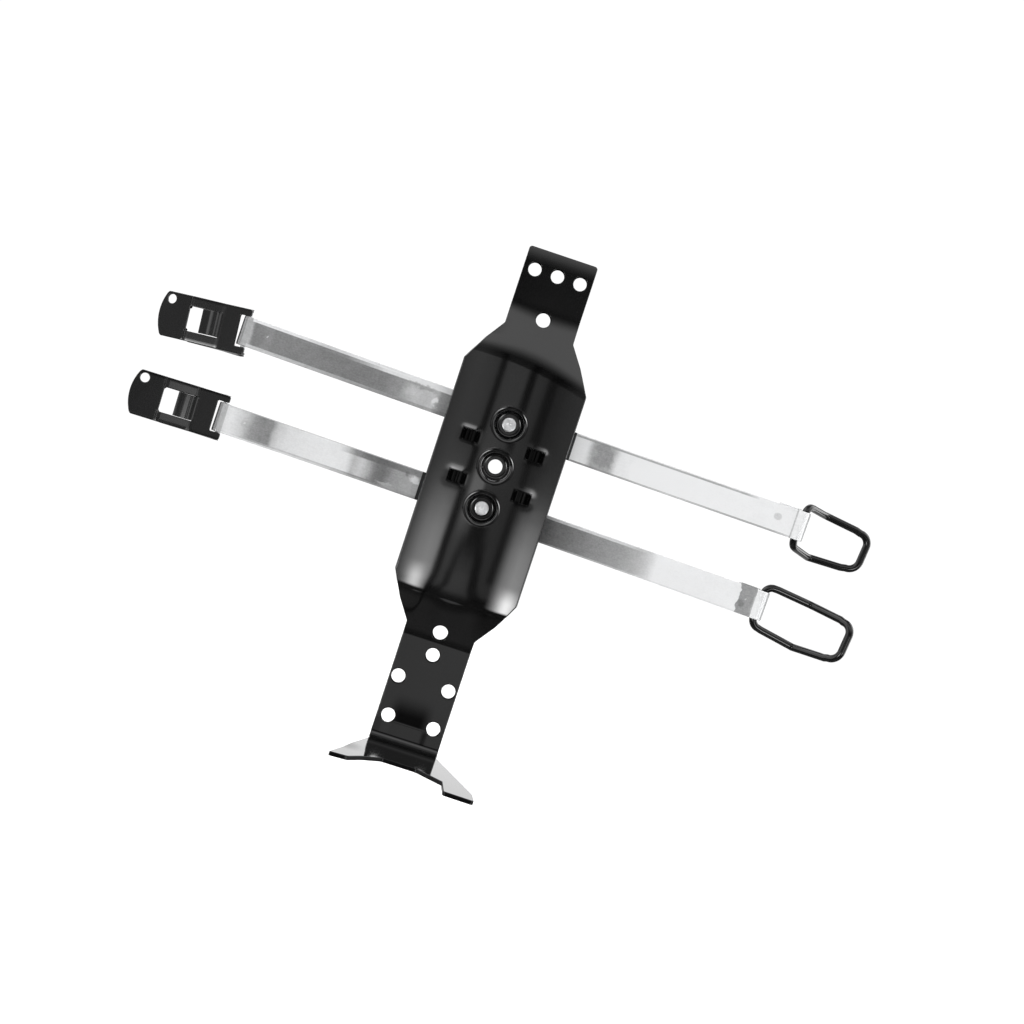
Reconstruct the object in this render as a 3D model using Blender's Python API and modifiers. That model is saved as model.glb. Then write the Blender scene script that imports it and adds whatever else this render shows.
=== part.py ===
"""Wall bracket for a small fire extinguisher.

A pressed steel back plate with a trough for the bottle and a foot under it, two
steel strip bands riveted behind it, a latch lever hinged to the left end of each
band and a kinked wire bail in the right end of each band.

Frame: metres, +Z up, +X to the right seen from the front, the front faces -Y.
The wall plane is y = 0, the rear of the plate's two flat necks. The origin lies on
that plane, on the middle line of the upper neck.
"""
import math

import bmesh
import bpy
from mathutils import Matrix, Vector

MM = 0.001

# ---------------------------------------------------------------- dimensions, mm
# Heights are given from the middle hole of the plate; the origin is REF_Z above it.
REF_Z = 73.3

SHEET = 1.5                # plate thickness
NECK_HALF = 14.8           # half width of both necks
TROUGH_HALF = 25.8         # half width of the trough
TOP_Z = 91.7               # upper edge of the plate
CORNER_R = 1.2             # rounding of the upper corners
TROUGH_LIFT = 6.0          # rear of the trough bottom in front of the wall plane
TROUGH_R = 75.0            # radius of the trough across
RAMP_TOP = (64.9, 46.5)    # shoulder between the upper neck and the trough
RAMP_LOW = (-75.3, -57.9)  # shoulder between the lower neck and the trough
RAMP_BLEND = 1.8           # half length of each rounded bend line

FOOT_BEND_Z = -119.3       # start of the bend of the foot
FOOT_R = 2.6               # inner radius of that bend

HOLE_R = 2.95
TOP_HOLES = ((-9.8, 82.7), (0.0, 82.7), (9.8, 82.7))
SINGLE_HOLE = (0.0, 64.0, 3.15)
LOW_HOLES = ((0.0, -72.3, 3.3), (0.0, -82.2, 3.05),
             (-10.97, -94.8, 3.1), (10.97, -94.8, 3.1),
             (-9.9, -111.8, 3.1), (9.9, -111.8, 3.1))

DIMPLE_PITCH = 18.05
MID_Z = 0.6                # height of the middle dimple
DIMPLE_RIM_R = 7.3
DIMPLE_FLOOR_R = 4.5
DIMPLE_DEPTH = 3.0
RIVET_HOLE_R = 2.5

LUG_X = 13.8
LUG_Z = 8.95
LUG_MID = 0.8              # height midway between the lugs
LUG_W = 7.6                # width of each lanced lug
LUG_H = 4.8                # height of its slot
LUG_DEPTH = 4.0            # how far it is pressed back

BAND_W = 11.8
BAND_T = 0.6
BAND_GAP = 0.3
BAND_TILT = math.radians(1.05)
BAND_OFFSET = 0.35         # the rivet hole lies this far below the band's middle line
BAND_BOW = 10.0            # how far the band ends stand in front of its middle
BAND_FLAT = 22.0           # half length of the straight middle
BAND_TAIL = 10.5           # folded end, welded to the back of the band
ROLL_R = (1.8, 2.2)        # bore radius of the rolled ends, left and right

LEVER_T = 1.1
LEVER_W = 18.5
PIN_R = 1.1
WIRE_R = 1.4

# rolled ends: band name -> (left axis x, right axis x)
BAND_ENDS = {"upper": (-112.8, 125.5), "lower": (-111.8, 120.3)}


# ---------------------------------------------------------------- scene helpers
for ob in list(bpy.data.objects):
    bpy.data.objects.remove(ob, do_unlink=True)


def new_collection(name):
    coll = bpy.data.collections.get(name) or bpy.data.collections.new(name)
    if coll.name not in bpy.context.scene.collection.children:
        bpy.context.scene.collection.children.link(coll)
    return coll


BRACKET = new_collection("fire_extinguisher_bracket")
CUTTERS = new_collection("cutters")


def material(name, colour, roughness, metallic, coat=0.0):
    mat = bpy.data.materials.new(name)
    mat.use_nodes = True
    bsdf = mat.node_tree.nodes["Principled BSDF"]
    bsdf.inputs["Base Color"].default_value = (*colour, 1.0)
    bsdf.inputs["Roughness"].default_value = roughness
    bsdf.inputs["Metallic"].default_value = metallic
    bsdf.inputs["Coat Weight"].default_value = coat
    mat.diffuse_color = (*colour, 1.0)
    return mat


BLACK = {"colour": (0.012, 0.012, 0.013), "roughness": 0.12, "metallic": 0.0, "coat": 0.6}
ZINC = {"colour": (0.62, 0.63, 0.64), "roughness": 0.28, "metallic": 1.0}
WIRE_BLACK = {"colour": (0.014, 0.014, 0.015), "roughness": 0.22, "metallic": 0.0, "coat": 0.4}


def finish(obj, look, smooth_deg=32.0):
    for coll in list(obj.users_collection):
        coll.objects.unlink(obj)
    BRACKET.objects.link(obj)
    obj.data.materials.clear()
    obj.data.materials.append(material(obj.name + "_finish", **look))
    obj.data.shade_smooth()
    obj.data.set_sharp_from_angle(angle=math.radians(smooth_deg))
    return obj


def outline(name, loops, half, matrix=None):
    """A flat outline with its holes, given in mm, as a closed slab 2 * half thick."""
    cu = bpy.data.curves.new(name, "CURVE")
    cu.dimensions = "2D"
    cu.fill_mode = "BOTH"
    cu.extrude = half * MM
    cu.resolution_u = 1
    cu.render_resolution_u = 0
    for pts in loops:
        sp = cu.splines.new("POLY")
        sp.points.add(len(pts) - 1)
        for p, (x, y) in zip(sp.points, pts):
            p.co = (x * MM, y * MM, 0.0, 1.0)
        sp.use_cyclic_u = True
    ob = bpy.data.objects.new(name, cu)
    CUTTERS.objects.link(ob)
    if matrix is not None:
        ob.matrix_world = matrix
    return to_mesh(ob)


def to_mesh(ob, weld=0.00001):
    """The evaluated shape as a mesh object in world space, welded and facing out."""
    bpy.context.view_layer.update()
    dg = bpy.context.evaluated_depsgraph_get()
    me = bpy.data.meshes.new_from_object(ob.evaluated_get(dg))
    mw = ob.matrix_world.copy()
    name = ob.name
    bpy.data.objects.remove(ob, do_unlink=True)
    bm = bmesh.new()
    bm.from_mesh(me)
    bm.transform(mw)
    bmesh.ops.remove_doubles(bm, verts=bm.verts, dist=weld)
    bmesh.ops.recalc_face_normals(bm, faces=bm.faces)
    bm.to_mesh(me)
    bm.free()
    out = bpy.data.objects.new(name, me)
    CUTTERS.objects.link(out)
    return out


def circle(cx, cy, r, n=28):
    return [(cx + r * math.cos(2 * math.pi * k / n), cy + r * math.sin(2 * math.pi * k / n)) for k in range(n)]


def arc(cx, cy, r, a0, a1, n):
    return [(cx + r * math.cos(math.radians(a0 + (a1 - a0) * k / n)),
             cy + r * math.sin(math.radians(a0 + (a1 - a0) * k / n))) for k in range(n + 1)]


def boolean(target, tool, operation):
    """Applies one Boolean and removes the tool."""
    mod = target.modifiers.new(operation.lower(), "BOOLEAN")
    mod.operation = operation
    mod.solver = "EXACT"
    mod.object = tool
    tool.hide_render = True
    tool.display_type = "WIRE"
    out = to_mesh(target)
    bpy.data.objects.remove(tool, do_unlink=True)
    return out


def cut(target, tool):
    return boolean(target, tool, "DIFFERENCE")


def join(target, tool):
    return boolean(target, tool, "UNION")


# planes: an outline drawn in (x, height) and extruded along Y, and so on
def plane_xz(y):
    """Outline x, z -> world X, Z at depth y."""
    return Matrix.Translation((0, y * MM, -REF_Z * MM)) @ Matrix.Rotation(math.radians(90), 4, "X")


def turned(name, profile, steps=32):
    """A profile of (radius, height) in mm turned about local Z."""
    me = bpy.data.meshes.new(name)
    bm = bmesh.new()
    vs = [bm.verts.new((r * MM, 0.0, h * MM)) for r, h in profile]
    for a, b in zip(vs[:-1], vs[1:]):
        bm.edges.new((a, b))
    bm.to_mesh(me)
    bm.free()
    ob = bpy.data.objects.new(name, me)
    CUTTERS.objects.link(ob)
    mod = ob.modifiers.new("turn", "SCREW")
    mod.axis = "Z"
    mod.steps = steps
    mod.render_steps = steps
    mod.use_merge_vertices = True
    mod.merge_threshold = 0.00001
    mod.use_smooth_shade = True
    return to_mesh(ob)


# ---------------------------------------------------------------- back plate
def ramp(z, z0, z1, r):
    """0 before z0, 1 after z1, straight between, both bend lines rounded over +-r."""
    span = abs(z1 - z0)
    t = (z - z0) * (1.0 if z1 > z0 else -1.0)
    slope = 1.0 / span
    if t <= -r:
        return 0.0
    if t < r:
        return slope * (t + r) ** 2 / (4 * r)
    if t <= span - r:
        return slope * t
    if t < span + r:
        return 1.0 - slope * (span + r - t) ** 2 / (4 * r)
    return 1.0


def half_width(z):
    """Half width of the plate at a height: neck, flared shoulder, trough, and back."""
    pts = ((92.5, NECK_HALF), (58.1, NECK_HALF), (49.5, 20.4), (39.1, TROUGH_HALF),
           (-51.2, TROUGH_HALF), (-62.5, 20.6), (-71.6, NECK_HALF), (-130.0, NECK_HALF))
    for (za, wa), (zb, wb) in zip(pts[:-1], pts[1:]):
        if za >= z >= zb:
            return wa + (wb - wa) * (za - z) / (za - zb)
    return NECK_HALF


def rise(x, z):
    """Rear face of the plate in front of the wall plane, mm."""
    up = ramp(z, RAMP_TOP[0], RAMP_TOP[1] - 2.6 * (x / 20.0) ** 2, RAMP_BLEND)
    lo = ramp(z, RAMP_LOW[0], RAMP_LOW[1] + 1.2 * (x / 20.0) ** 2, RAMP_BLEND)
    return min(up, lo) * (TROUGH_LIFT + x * x / (2 * TROUGH_R))


COLUMNS = (-1.0, -0.84, -0.68, -0.52, -0.38, -0.26, -0.13, 0.0, 0.13, 0.26, 0.38, 0.52, 0.68, 0.84, 1.0)


def plate_rows():
    """Heights of the rows of the pressed sheet, top to bottom."""
    rows = [TOP_Z, 72.0, 66.7, 65.8, 64.9, 64.0, 63.1, 58.1, 54.0, 49.5, 48.3, 47.4, 46.5, 45.6, 44.7, 43.2,
            41.6, 39.1, 30.0, 20.0, 10.0, 0.0, -10.0, -20.0, -30.0, -40.0, -51.2, -54.5, -56.1, -57.0,
            -57.9, -58.8, -59.7, -62.5, -67.0, -71.6, -73.5, -74.4, -75.3, -76.2, -77.1, -90.0, -105.0, FOOT_BEND_Z]
    return rows


# plan of the foot: distance from the neck's front face against x
FOOT_REAR = 3.2
WING_L = ((3.2, 14.8), (41.8, 27.4), (43.9, 28.0), (57.0, 28.0))
WING_R = ((3.2, 14.8), (43.1, 29.8), (52.0, 30.4), (57.0, 30.4))
FOOT_FRONT = ((-45.0, 45.6), (-28.0, 43.9), (-20.5, 42.8), (-7.4, 31.2), (6.7, 31.2), (17.4, 38.2), (18.0, 51.6),
              (45.0, 53.0), (45.0, 70.0), (-45.0, 70.0))


def along(table, h):
    for (ha, wa), (hb, wb) in zip(table[:-1], table[1:]):
        if ha <= h <= hb:
            return wa + (wb - wa) * (h - ha) / (hb - ha)
    return table[0][1] if h < table[0][0] else table[-1][1]


def build_plate():
    bm = bmesh.new()
    grid = []
    for z in plate_rows():
        w = half_width(z)
        row = []
        for s in COLUMNS:
            x = s * w
            y = -(rise(x, z) + SHEET)
            row.append(bm.verts.new((x * MM, y * MM, (z - REF_Z) * MM)))
        grid.append(row)
    # the bend of the foot: a quarter turn about an axis in front of the neck
    for k in range(1, 6):
        a = math.radians(90.0 * k / 5)
        y = -SHEET - FOOT_R + FOOT_R * math.cos(a)
        z = FOOT_BEND_Z - FOOT_R * math.sin(a)
        grid.append([bm.verts.new((s * NECK_HALF * MM, y * MM, (z - REF_Z) * MM)) for s in COLUMNS])
    # the foot, flat, widening to two claws
    for h in (FOOT_REAR, 15.0, 28.0, 41.8, 43.9, 49.0, 55.0):
        wl, wr = along(WING_L, h), along(WING_R, h)
        row = []
        for s in COLUMNS:
            x = s * (wr if s > 0 else wl)
            row.append(bm.verts.new((x * MM, (-SHEET - h) * MM, (FOOT_BEND_Z - FOOT_R - REF_Z) * MM)))
        grid.append(row)
    for ra, rb in zip(grid[:-1], grid[1:]):
        for i in range(len(COLUMNS) - 1):
            bm.faces.new((ra[i], rb[i], rb[i + 1], ra[i + 1]))
    bm.normal_update()
    # the drawn surface is the front face, and the sheet lies behind it
    me = bpy.data.meshes.new("back_plate")
    bm.to_mesh(me)
    bm.free()
    ob = bpy.data.objects.new("back_plate", me)
    CUTTERS.objects.link(ob)
    mod = ob.modifiers.new("sheet", "SOLIDIFY")
    mod.thickness = SHEET * MM
    mod.offset = -1.0
    mod.use_even_offset = True
    ob = to_mesh(ob)

    # front edge of the foot
    ob = cut(ob, outline("foot_front", [FOOT_FRONT], 6.0,
                         Matrix.Translation((0, -SHEET * MM, (FOOT_BEND_Z - FOOT_R - REF_Z) * MM))
                         @ Matrix.Scale(-1, 4, (0, 1, 0))))
    # rounded upper corners
    for side in (-1, 1):
        c = (side * (NECK_HALF - CORNER_R), TOP_Z - CORNER_R)
        pts = [(side * (NECK_HALF + 3), TOP_Z + 3), (c[0], TOP_Z + 3)]
        pts += arc(c[0], c[1], CORNER_R, 90, 0 if side > 0 else 180, 6)
        pts += [(side * (NECK_HALF + 3), c[1])]
        ob = cut(ob, outline("corner", [pts], 8.0, plane_xz(0.0)))
    # holes of the necks
    for x, z in TOP_HOLES:
        ob = cut(ob, outline("hole", [circle(x, z, HOLE_R)], 12.0, plane_xz(-2.0)))
    for x, z, r in (SINGLE_HOLE,) + LOW_HOLES:
        ob = cut(ob, outline("hole", [circle(x, z, r)], 12.0, plane_xz(-2.0)))
    # three dished dimples, pressed back from the bottom of the trough
    front = TROUGH_LIFT + SHEET
    floor = front - DIMPLE_DEPTH
    for k, hole_r in ((1, RIVET_HOLE_R), (0, HOLE_R), (-1, RIVET_HOLE_R)):
        z = MID_Z + k * DIMPLE_PITCH
        ob = cut(ob, outline("dimple_cut", [circle(0.0, z, DIMPLE_RIM_R, 36)], 4.0, plane_xz(-front + 0.6)))
        profile = [(DIMPLE_RIM_R + 0.25, front + 0.05), (DIMPLE_RIM_R + 0.25, front - SHEET + 0.1),
                   (DIMPLE_RIM_R - 0.4, front - SHEET + 0.05), (6.1, front - SHEET - 0.9),
                   (5.3, floor - SHEET + 0.25), (4.7, floor - SHEET), (hole_r, floor - SHEET),
                   (hole_r, floor), (DIMPLE_FLOOR_R - 0.5, floor), (DIMPLE_FLOOR_R + 0.2, floor + 0.35),
                   (5.6, front - 1.1), (6.3, front - 0.3), (7.0, front), (DIMPLE_RIM_R + 0.25, front + 0.05)]
        dish = turned("dish", profile, 36)
        dish.data.transform(Matrix.Translation((0, 0, (z - REF_Z) * MM)) @ Matrix.Rotation(math.radians(90), 4, "X"))
        ob = join(ob, dish)
    # four lanced lugs: a slot, and the strip of sheet pressed back through it
    for sx in (-1, 1):
        for sz in (-1, 1):
            x, z = sx * LUG_X, LUG_MID + sz * LUG_Z
            hw, hh, r = LUG_W / 2, LUG_H / 2, 1.0
            pts = []
            for cx, cz, a in ((hw - r, hh - r, 0), (-hw + r, hh - r, 90), (-hw + r, -hh + r, 180), (hw - r, -hh + r, 270)):
                pts += arc(x + cx, z + cz, r, a, a + 90, 4)
            ob = cut(ob, outline("slot", [pts], 5.0, plane_xz(-7.5)))
            # the pressed strip, a shallow bridge seen from above
            f0 = rise(x - hw, z) + SHEET - 0.25
            f1 = rise(x + hw, z) + SHEET - 0.25
            back = min(f0, f1) - LUG_DEPTH + 0.35
            t = 1.2
            outer = [(x - hw - 0.5, -f0), (x - hw + 1.5, -back), (x + hw - 1.5, -back), (x + hw + 0.5, -f1)]
            inner = [(x + hw + 0.5, -f1 + t), (x + hw - 1.5 + 0.25, -back + t), (x - hw + 1.5 - 0.25, -back + t),
                     (x - hw - 0.5, -f0 + t)]
            lug = outline("lug", [outer + inner], (LUG_H - 0.7) / 2,
                          Matrix.Translation((0, 0, (z - REF_Z) * MM)))
            ob = join(ob, lug)
    ob.name = "back_plate"
    return finish(ob, BLACK, 26.0)


# ---------------------------------------------------------------- bands
BAND_FRONT = TROUGH_LIFT - DIMPLE_DEPTH - BAND_GAP     # front face of the band at its middle, above the wall


def band_y(x):
    """Front face of a band at a distance x along it (world Y, mm)."""
    d = max(0.0, abs(x) - BAND_FLAT) / 93.0
    return -(BAND_FRONT + BAND_BOW * d * d)


def band_slope(x):
    d = max(0.0, abs(x) - BAND_FLAT) / 93.0
    return -(2 * BAND_BOW * d / 93.0) * (1 if x > 0 else -1)


def band_frame(which):
    """Band coordinates (along, depth, across) to world: tilted about its rivet."""
    z = MID_Z + DIMPLE_PITCH * (1 if which == "upper" else -1)
    return Matrix.Translation((0, 0, (z - REF_Z) * MM)) @ Matrix.Rotation(BAND_TILT, 4, "Y") \
        @ Matrix.Translation((0, 0, BAND_OFFSET * MM))


def end_axis(which, side):
    """Axis point of a rolled end in band coordinates, mm (along, depth)."""
    k = 0 if side < 0 else 1
    x = BAND_ENDS[which][k]
    return x, band_y(x) + ROLL_R[k] + BAND_T


def build_band(which):
    xl, xr = BAND_ENDS[which]
    outer_l, outer_r = ROLL_R[0] + BAND_T, ROLL_R[1] + BAND_T
    loop = []
    n = 36
    # front face, left to right
    front = [(xl + (xr - xl) * k / n, band_y(xl + (xr - xl) * k / n)) for k in range(n + 1)]
    front = [p for p in front if p[0] < -BAND_FLAT - 2] + [(-BAND_FLAT, band_y(0)), (BAND_FLAT, band_y(0))] \
        + [p for p in front if p[0] > BAND_FLAT + 2]
    loop += front

    # each roll runs from the front tangent round its far side to the folded tail
    a_end = math.degrees(math.asin((2 * BAND_T - outer_r) / outer_r))
    a_left = math.degrees(math.asin((2 * BAND_T - outer_l) / outer_l))
    cx, cy = end_axis(which, 1)
    loop += arc(cx, cy, outer_r, -90.0, 180.0 - a_end, 20)[1:]
    tail_x = xr - BAND_TAIL
    loop += [(tail_x, band_y(tail_x) + 2 * BAND_T), (tail_x, band_y(tail_x) + BAND_T)]
    # rear face, right to left
    back = []
    tail_l = xl + BAND_TAIL
    for k in range(1, n):
        x = tail_x + (tail_l - tail_x) * k / n
        back.append((x, band_y(x) + BAND_T))
    back = [p for p in back if p[0] > BAND_FLAT + 2] + [(BAND_FLAT, band_y(0) + BAND_T), (-BAND_FLAT, band_y(0) + BAND_T)] \
        + [p for p in back if p[0] < -BAND_FLAT - 2]
    loop += back
    loop += [(tail_l, band_y(tail_l) + BAND_T), (tail_l, band_y(tail_l) + 2 * BAND_T)]
    cx2, cy2 = end_axis(which, -1)
    loop += arc(cx2, cy2, outer_l, a_left, 270.0, 20)[:-1]
    holes = [circle(cx, cy, ROLL_R[1], 24), circle(cx2, cy2, ROLL_R[0], 24)]
    ob = outline(which + "_band", [loop] + holes, BAND_W / 2)
    hole = outline("rivet_hole", [circle(0.0, -BAND_OFFSET, 2.65, 24)], 4.0,
                   Matrix.Translation((0, -2.0 * MM, 0)) @ Matrix.Rotation(math.radians(90), 4, "X"))
    ob = cut(ob, hole)
    ob.data.transform(band_frame(which))
    ob.name = which + "_band"
    return finish(ob, ZINC, 30.0)


def build_rivet(which):
    """Flat front head in the dimple, shank through plate and band, wide head behind."""
    floor = TROUGH_LIFT + SHEET - DIMPLE_DEPTH
    band_back = BAND_FRONT - BAND_T
    gap = 0.3
    profile = [(0.0, floor + gap + 0.75), (0.6, floor + gap + 0.75), (0.9, floor + gap + 0.95),
               (2.5, floor + gap + 0.95), (2.95, floor + gap + 0.6), (2.95, floor + gap),
               (2.2, floor + gap), (2.2, band_back - gap), (4.2, band_back - gap),
               (4.2, band_back - gap - 0.5), (3.4, band_back - gap - 1.1), (0.0, band_back - gap - 1.2)]
    ob = turned(which + "_band_rivet", profile, 32)
    z = MID_Z + DIMPLE_PITCH * (1 if which == "upper" else -1)
    ob.data.transform(Matrix.Translation((0, 0, (z - REF_Z) * MM)) @ Matrix.Rotation(math.radians(90), 4, "X"))
    ob.name = which + "_band_rivet"
    return finish(ob, ZINC, 30.0)


# ---------------------------------------------------------------- latch levers
# Lever coordinates, mm: x from the pin axis to the free end, y to the front, z across.
NOTCH_U = 3.3
NOTCH_HALF = 6.4
WINDOW = (10.5, 25.1, 5.05)
KICK = (10.4, 23.3, 2.2)      # the ramp that carries the grip in front of the hinge part
FACE = 2.5                    # front face of the hinge part, in front of the pin axis
LEVER_END = (34.95, 37.4)     # corners and top of the rounded free end
LEVER_BACK = -1.8
FLANGE_DEPTH = -2.15
FLANGE_TIP = 22.8
TONGUE = (18.2, 4.6)          # free end of the hook tongue, its half width
LEVER_HOLE = (32.9, 6.3, 1.95)


def kick(u):
    u0, u1, k = KICK
    t = min(1.0, max(0.0, (u - u0) / (u1 - u0)))
    return FACE + k * t


def lever_frame(which):
    """Lever coordinates to world: on the band's left axis, with the play it is shown at."""
    x, y = end_axis(which, -1)
    skew, pitch = {"upper": (5.6, 16.0), "lower": (2.0, 0.0)}[which]
    local = Matrix.Translation((x * MM, y * MM, 0.0))
    turn = (Matrix.Rotation(math.radians(-skew), 4, "Y") @ Matrix.Rotation(math.radians(180.0), 4, "Z")
            @ Matrix.Rotation(math.radians(-pitch), 4, "Z"))
    return band_frame(which) @ local @ turn


def build_lever(which):
    us = (KICK[0], KICK[1])
    top = [(LEVER_BACK, FACE), (us[0], FACE), (us[1], kick(us[1])), (LEVER_END[1], kick(us[1]))]
    under = [(LEVER_END[1], kick(us[1]) - LEVER_T), (us[1] + 0.15, kick(us[1]) - LEVER_T)]
    flange = [(FLANGE_TIP, kick(FLANGE_TIP) - LEVER_T - 0.1), (8.0, -0.2)]
    flange += [(2.0, FLANGE_DEPTH), (-0.6, FLANGE_DEPTH), (LEVER_BACK, FLANGE_DEPTH + 1.3)]
    ob = outline(which + "_latch_lever", [top + under + flange], LEVER_W / 2)
    # hollow between the two side flanges
    inner = [(LEVER_BACK - 3, FACE - LEVER_T), (us[0] + 0.1, FACE - LEVER_T), (us[1] + 0.15, kick(us[1]) - LEVER_T),
             (LEVER_END[1] + 3, kick(us[1]) - LEVER_T), (LEVER_END[1] + 3, -6.0), (LEVER_BACK - 3, -6.0)]
    ob = cut(ob, outline("channel", [inner], LEVER_W / 2 - LEVER_T))
    down = Matrix.Rotation(math.radians(90), 4, "X")
    # rounded free end
    r = ((LEVER_W / 2) ** 2 + (LEVER_END[1] - LEVER_END[0]) ** 2) / (2 * (LEVER_END[1] - LEVER_END[0]))
    c = LEVER_END[1] - r
    a = math.degrees(math.asin((LEVER_W / 2 + 0.7) / r))
    pts = [(60.0, -20.0), (60.0, 20.0)]
    pts += [(c + r * math.cos(math.radians(t)), r * math.sin(math.radians(t)))
            for t in [a - 2 * a * k / 16 for k in range(17)]]
    ob = cut(ob, outline("round_end", [pts], 12.0, down))
    # notch round the rolled band end, the window and the small hole
    ob = cut(ob, outline("notch", [[(-9.0, -NOTCH_HALF), (NOTCH_U, -NOTCH_HALF), (NOTCH_U, NOTCH_HALF), (-9.0, NOTCH_HALF)]], 12.0, down))
    u0, u1, hw = WINDOW
    win = arc(u0 + 0.5, hw - 0.5, 0.5, 180, 90, 3) + arc(u1 - 1.0, hw - 1.0, 1.0, 90, 0, 4)
    win += arc(u1 - 1.0, -hw + 1.0, 1.0, 0, -90, 4) + arc(u0 + 0.5, -hw + 0.5, 0.5, -90, -180, 3)
    ob = cut(ob, outline("window", [win], 12.0, down))
    ob = cut(ob, outline("eye", [circle(LEVER_HOLE[0], LEVER_HOLE[1], LEVER_HOLE[2], 24)], 12.0, down))
    # hook tongue: rises from the window's hinge side and points to the free end
    t = LEVER_T
    line = [(u0 - 1.0, FACE - 0.12), (u0 + 0.1, FACE + 0.1), (u0 + 1.2, FACE + 2.0), (u0 + 2.2, FACE + 2.7),
            (u0 + 3.6, FACE + 2.55), (TONGUE[0], FACE + 2.35)]
    line2 = [(TONGUE[0], FACE + 2.35 - t), (u0 + 3.6, FACE + 2.5 - t), (u0 + 2.5, FACE + 2.35 - t),
             (u0 + 1.5, FACE + 0.4 - 0.3), (u0 + 0.6, FACE - t + 0.12), (u0 - 1.0, FACE - t + 0.12)]
    ob = join(ob, outline("tongue", [line + line2], TONGUE[1]))
    # holes of the pin in the two flanges
    ob = cut(ob, outline("pin_hole", [circle(0.0, 0.0, PIN_R + 0.3, 20)], LEVER_W))
    ob.data.transform(lever_frame(which))
    ob.name = which + "_latch_lever"
    return finish(ob, BLACK, 30.0)


def build_pin(which):
    h = LEVER_W / 2 + 0.15
    profile = [(0.0, h), (PIN_R - 0.3, h), (PIN_R, h - 0.3), (PIN_R, -h + 0.3), (PIN_R - 0.3, -h), (0.0, -h)]
    ob = turned(which + "_hinge_pin", profile, 20)
    ob.data.transform(lever_frame(which))
    ob.name = which + "_hinge_pin"
    return finish(ob, ZINC, 30.0)


# ---------------------------------------------------------------- wire bails
BAIL_NEAR = 20.5           # pivot to kink
BAIL_FAR = 21.4            # kink to the far cross wire
BAIL_HALF = (8.8, 9.5, 7.9)    # half distance between the arms at the pivot, the kink and the far end
BAIL_KINK = 52.0
BAIL_CORNER = (3.8, 4.6)
# how each bail lies: fall of its near half, turn on its axis, lean of its near and far half, degrees
BAIL_LIE = {"upper": (-51.0, 3.7, 2.0, -1.5), "lower": (-6.0, 4.2, 3.2, -2.0)}


def bail_frame(which):
    """Bail coordinates to world: x away from the pivot, y to the rear, z across."""
    x, y = end_axis(which, 1)
    turn = Matrix.Rotation(math.radians(BAIL_LIE[which][1]), 4, "Y")
    return band_frame(which) @ Matrix.Translation((x * MM, y * MM, 0.0)) @ turn


def build_bail(which):
    """A closed wire loop, kinked half way, drawn as one cyclic curve."""
    fall, _, lean_near, lean_far = BAIL_LIE[which]
    lean_near, lean_far = math.tan(math.radians(lean_near)), math.tan(math.radians(lean_far))

    def at(s, v):
        """Point at distance s along the arm and v across, on the kinked plane."""
        a1, a2 = math.radians(fall), math.radians(fall + BAIL_KINK)
        r = 4.0     # length over which the kink turns
        if s <= BAIL_NEAR - r / 2:
            u, n = s * math.cos(a1), s * math.sin(a1)
        else:
            u, n = (BAIL_NEAR - r / 2) * math.cos(a1), (BAIL_NEAR - r / 2) * math.sin(a1)
            rest = s - (BAIL_NEAR - r / 2)
            steps = 8
            for k in range(steps):
                seg = min(rest, r) / steps
                a = a1 + (a2 - a1) * (min(rest, r) * (k + 0.5) / steps) / r
                u += seg * math.cos(a)
                n += seg * math.sin(a)
            if rest > r:
                u += (rest - r) * math.cos(a2)
                n += (rest - r) * math.sin(a2)
        side_step = lean_near * min(s, BAIL_NEAR) + lean_far * max(0.0, s - BAIL_NEAR)
        return Vector((u * MM, -n * MM, (v - side_step) * MM))

    total = BAIL_NEAR + BAIL_FAR
    flat = []

    def half_at(s):
        a, b, c = BAIL_HALF
        return a + (b - a) * s / BAIL_NEAR if s < BAIL_NEAR else b + (c - b) * (s - BAIL_NEAR) / BAIL_FAR

    c, d = BAIL_CORNER
    for side in (1, -1):
        h0, h1 = half_at(0), half_at(total)
        near = [(c - c * math.cos(math.radians(t)), side * (h0 - c + c * math.sin(math.radians(t)))) for t in (0, 18, 36, 54, 72, 90)]
        mid = [(s, side * half_at(s)) for s in (8.0, 13.0, 17.0, 18.5, 19.5, 20.5, 21.5, 22.5, 24.0, 28.0, 32.5)]
        far = [(total - d + d * math.sin(math.radians(t)), side * (h1 - d + d * math.cos(math.radians(t)))) for t in (0, 18, 36, 54, 72, 90)]
        run = near + mid + far
        flat += run if side == 1 else list(reversed(run))
    cu = bpy.data.curves.new(which + "_bail", "CURVE")
    cu.dimensions = "3D"
    cu.bevel_depth = WIRE_R * MM
    cu.bevel_resolution = 3
    cu.resolution_u = 1
    cu.render_resolution_u = 0
    sp = cu.splines.new("POLY")
    sp.points.add(len(flat) - 1)
    for p, (s, v) in zip(sp.points, flat):
        p.co = (*at(s, v), 1.0)
    sp.use_cyclic_u = True
    ob = bpy.data.objects.new(which + "_bail", cu)
    CUTTERS.objects.link(ob)
    ob = to_mesh(ob)
    ob.data.transform(bail_frame(which))
    ob.name = which + "_bail"
    return finish(ob, WIRE_BLACK, 60.0)


def hang_on_axis(obs, name, frame):
    """Moves the origins of a moving piece onto its joint axis by an empty there."""
    axis = bpy.data.objects.new(name, None)
    axis.empty_display_size = 0.01
    BRACKET.objects.link(axis)
    axis.matrix_world = frame
    bpy.context.view_layer.update()
    for ob in obs:
        ob.parent = axis
        ob.matrix_parent_inverse = frame.inverted()


build_plate()
for side_name in ("upper", "lower"):
    build_band(side_name)
    build_rivet(side_name)
    lever = build_lever(side_name)
    pin = build_pin(side_name)
    hang_on_axis([lever, pin], side_name + "_lever_axis", lever_frame(side_name))
    bail = build_bail(side_name)
    hang_on_axis([bail], side_name + "_bail_axis", bail_frame(side_name))
bpy.context.view_layer.update()
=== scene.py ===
import math

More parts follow.
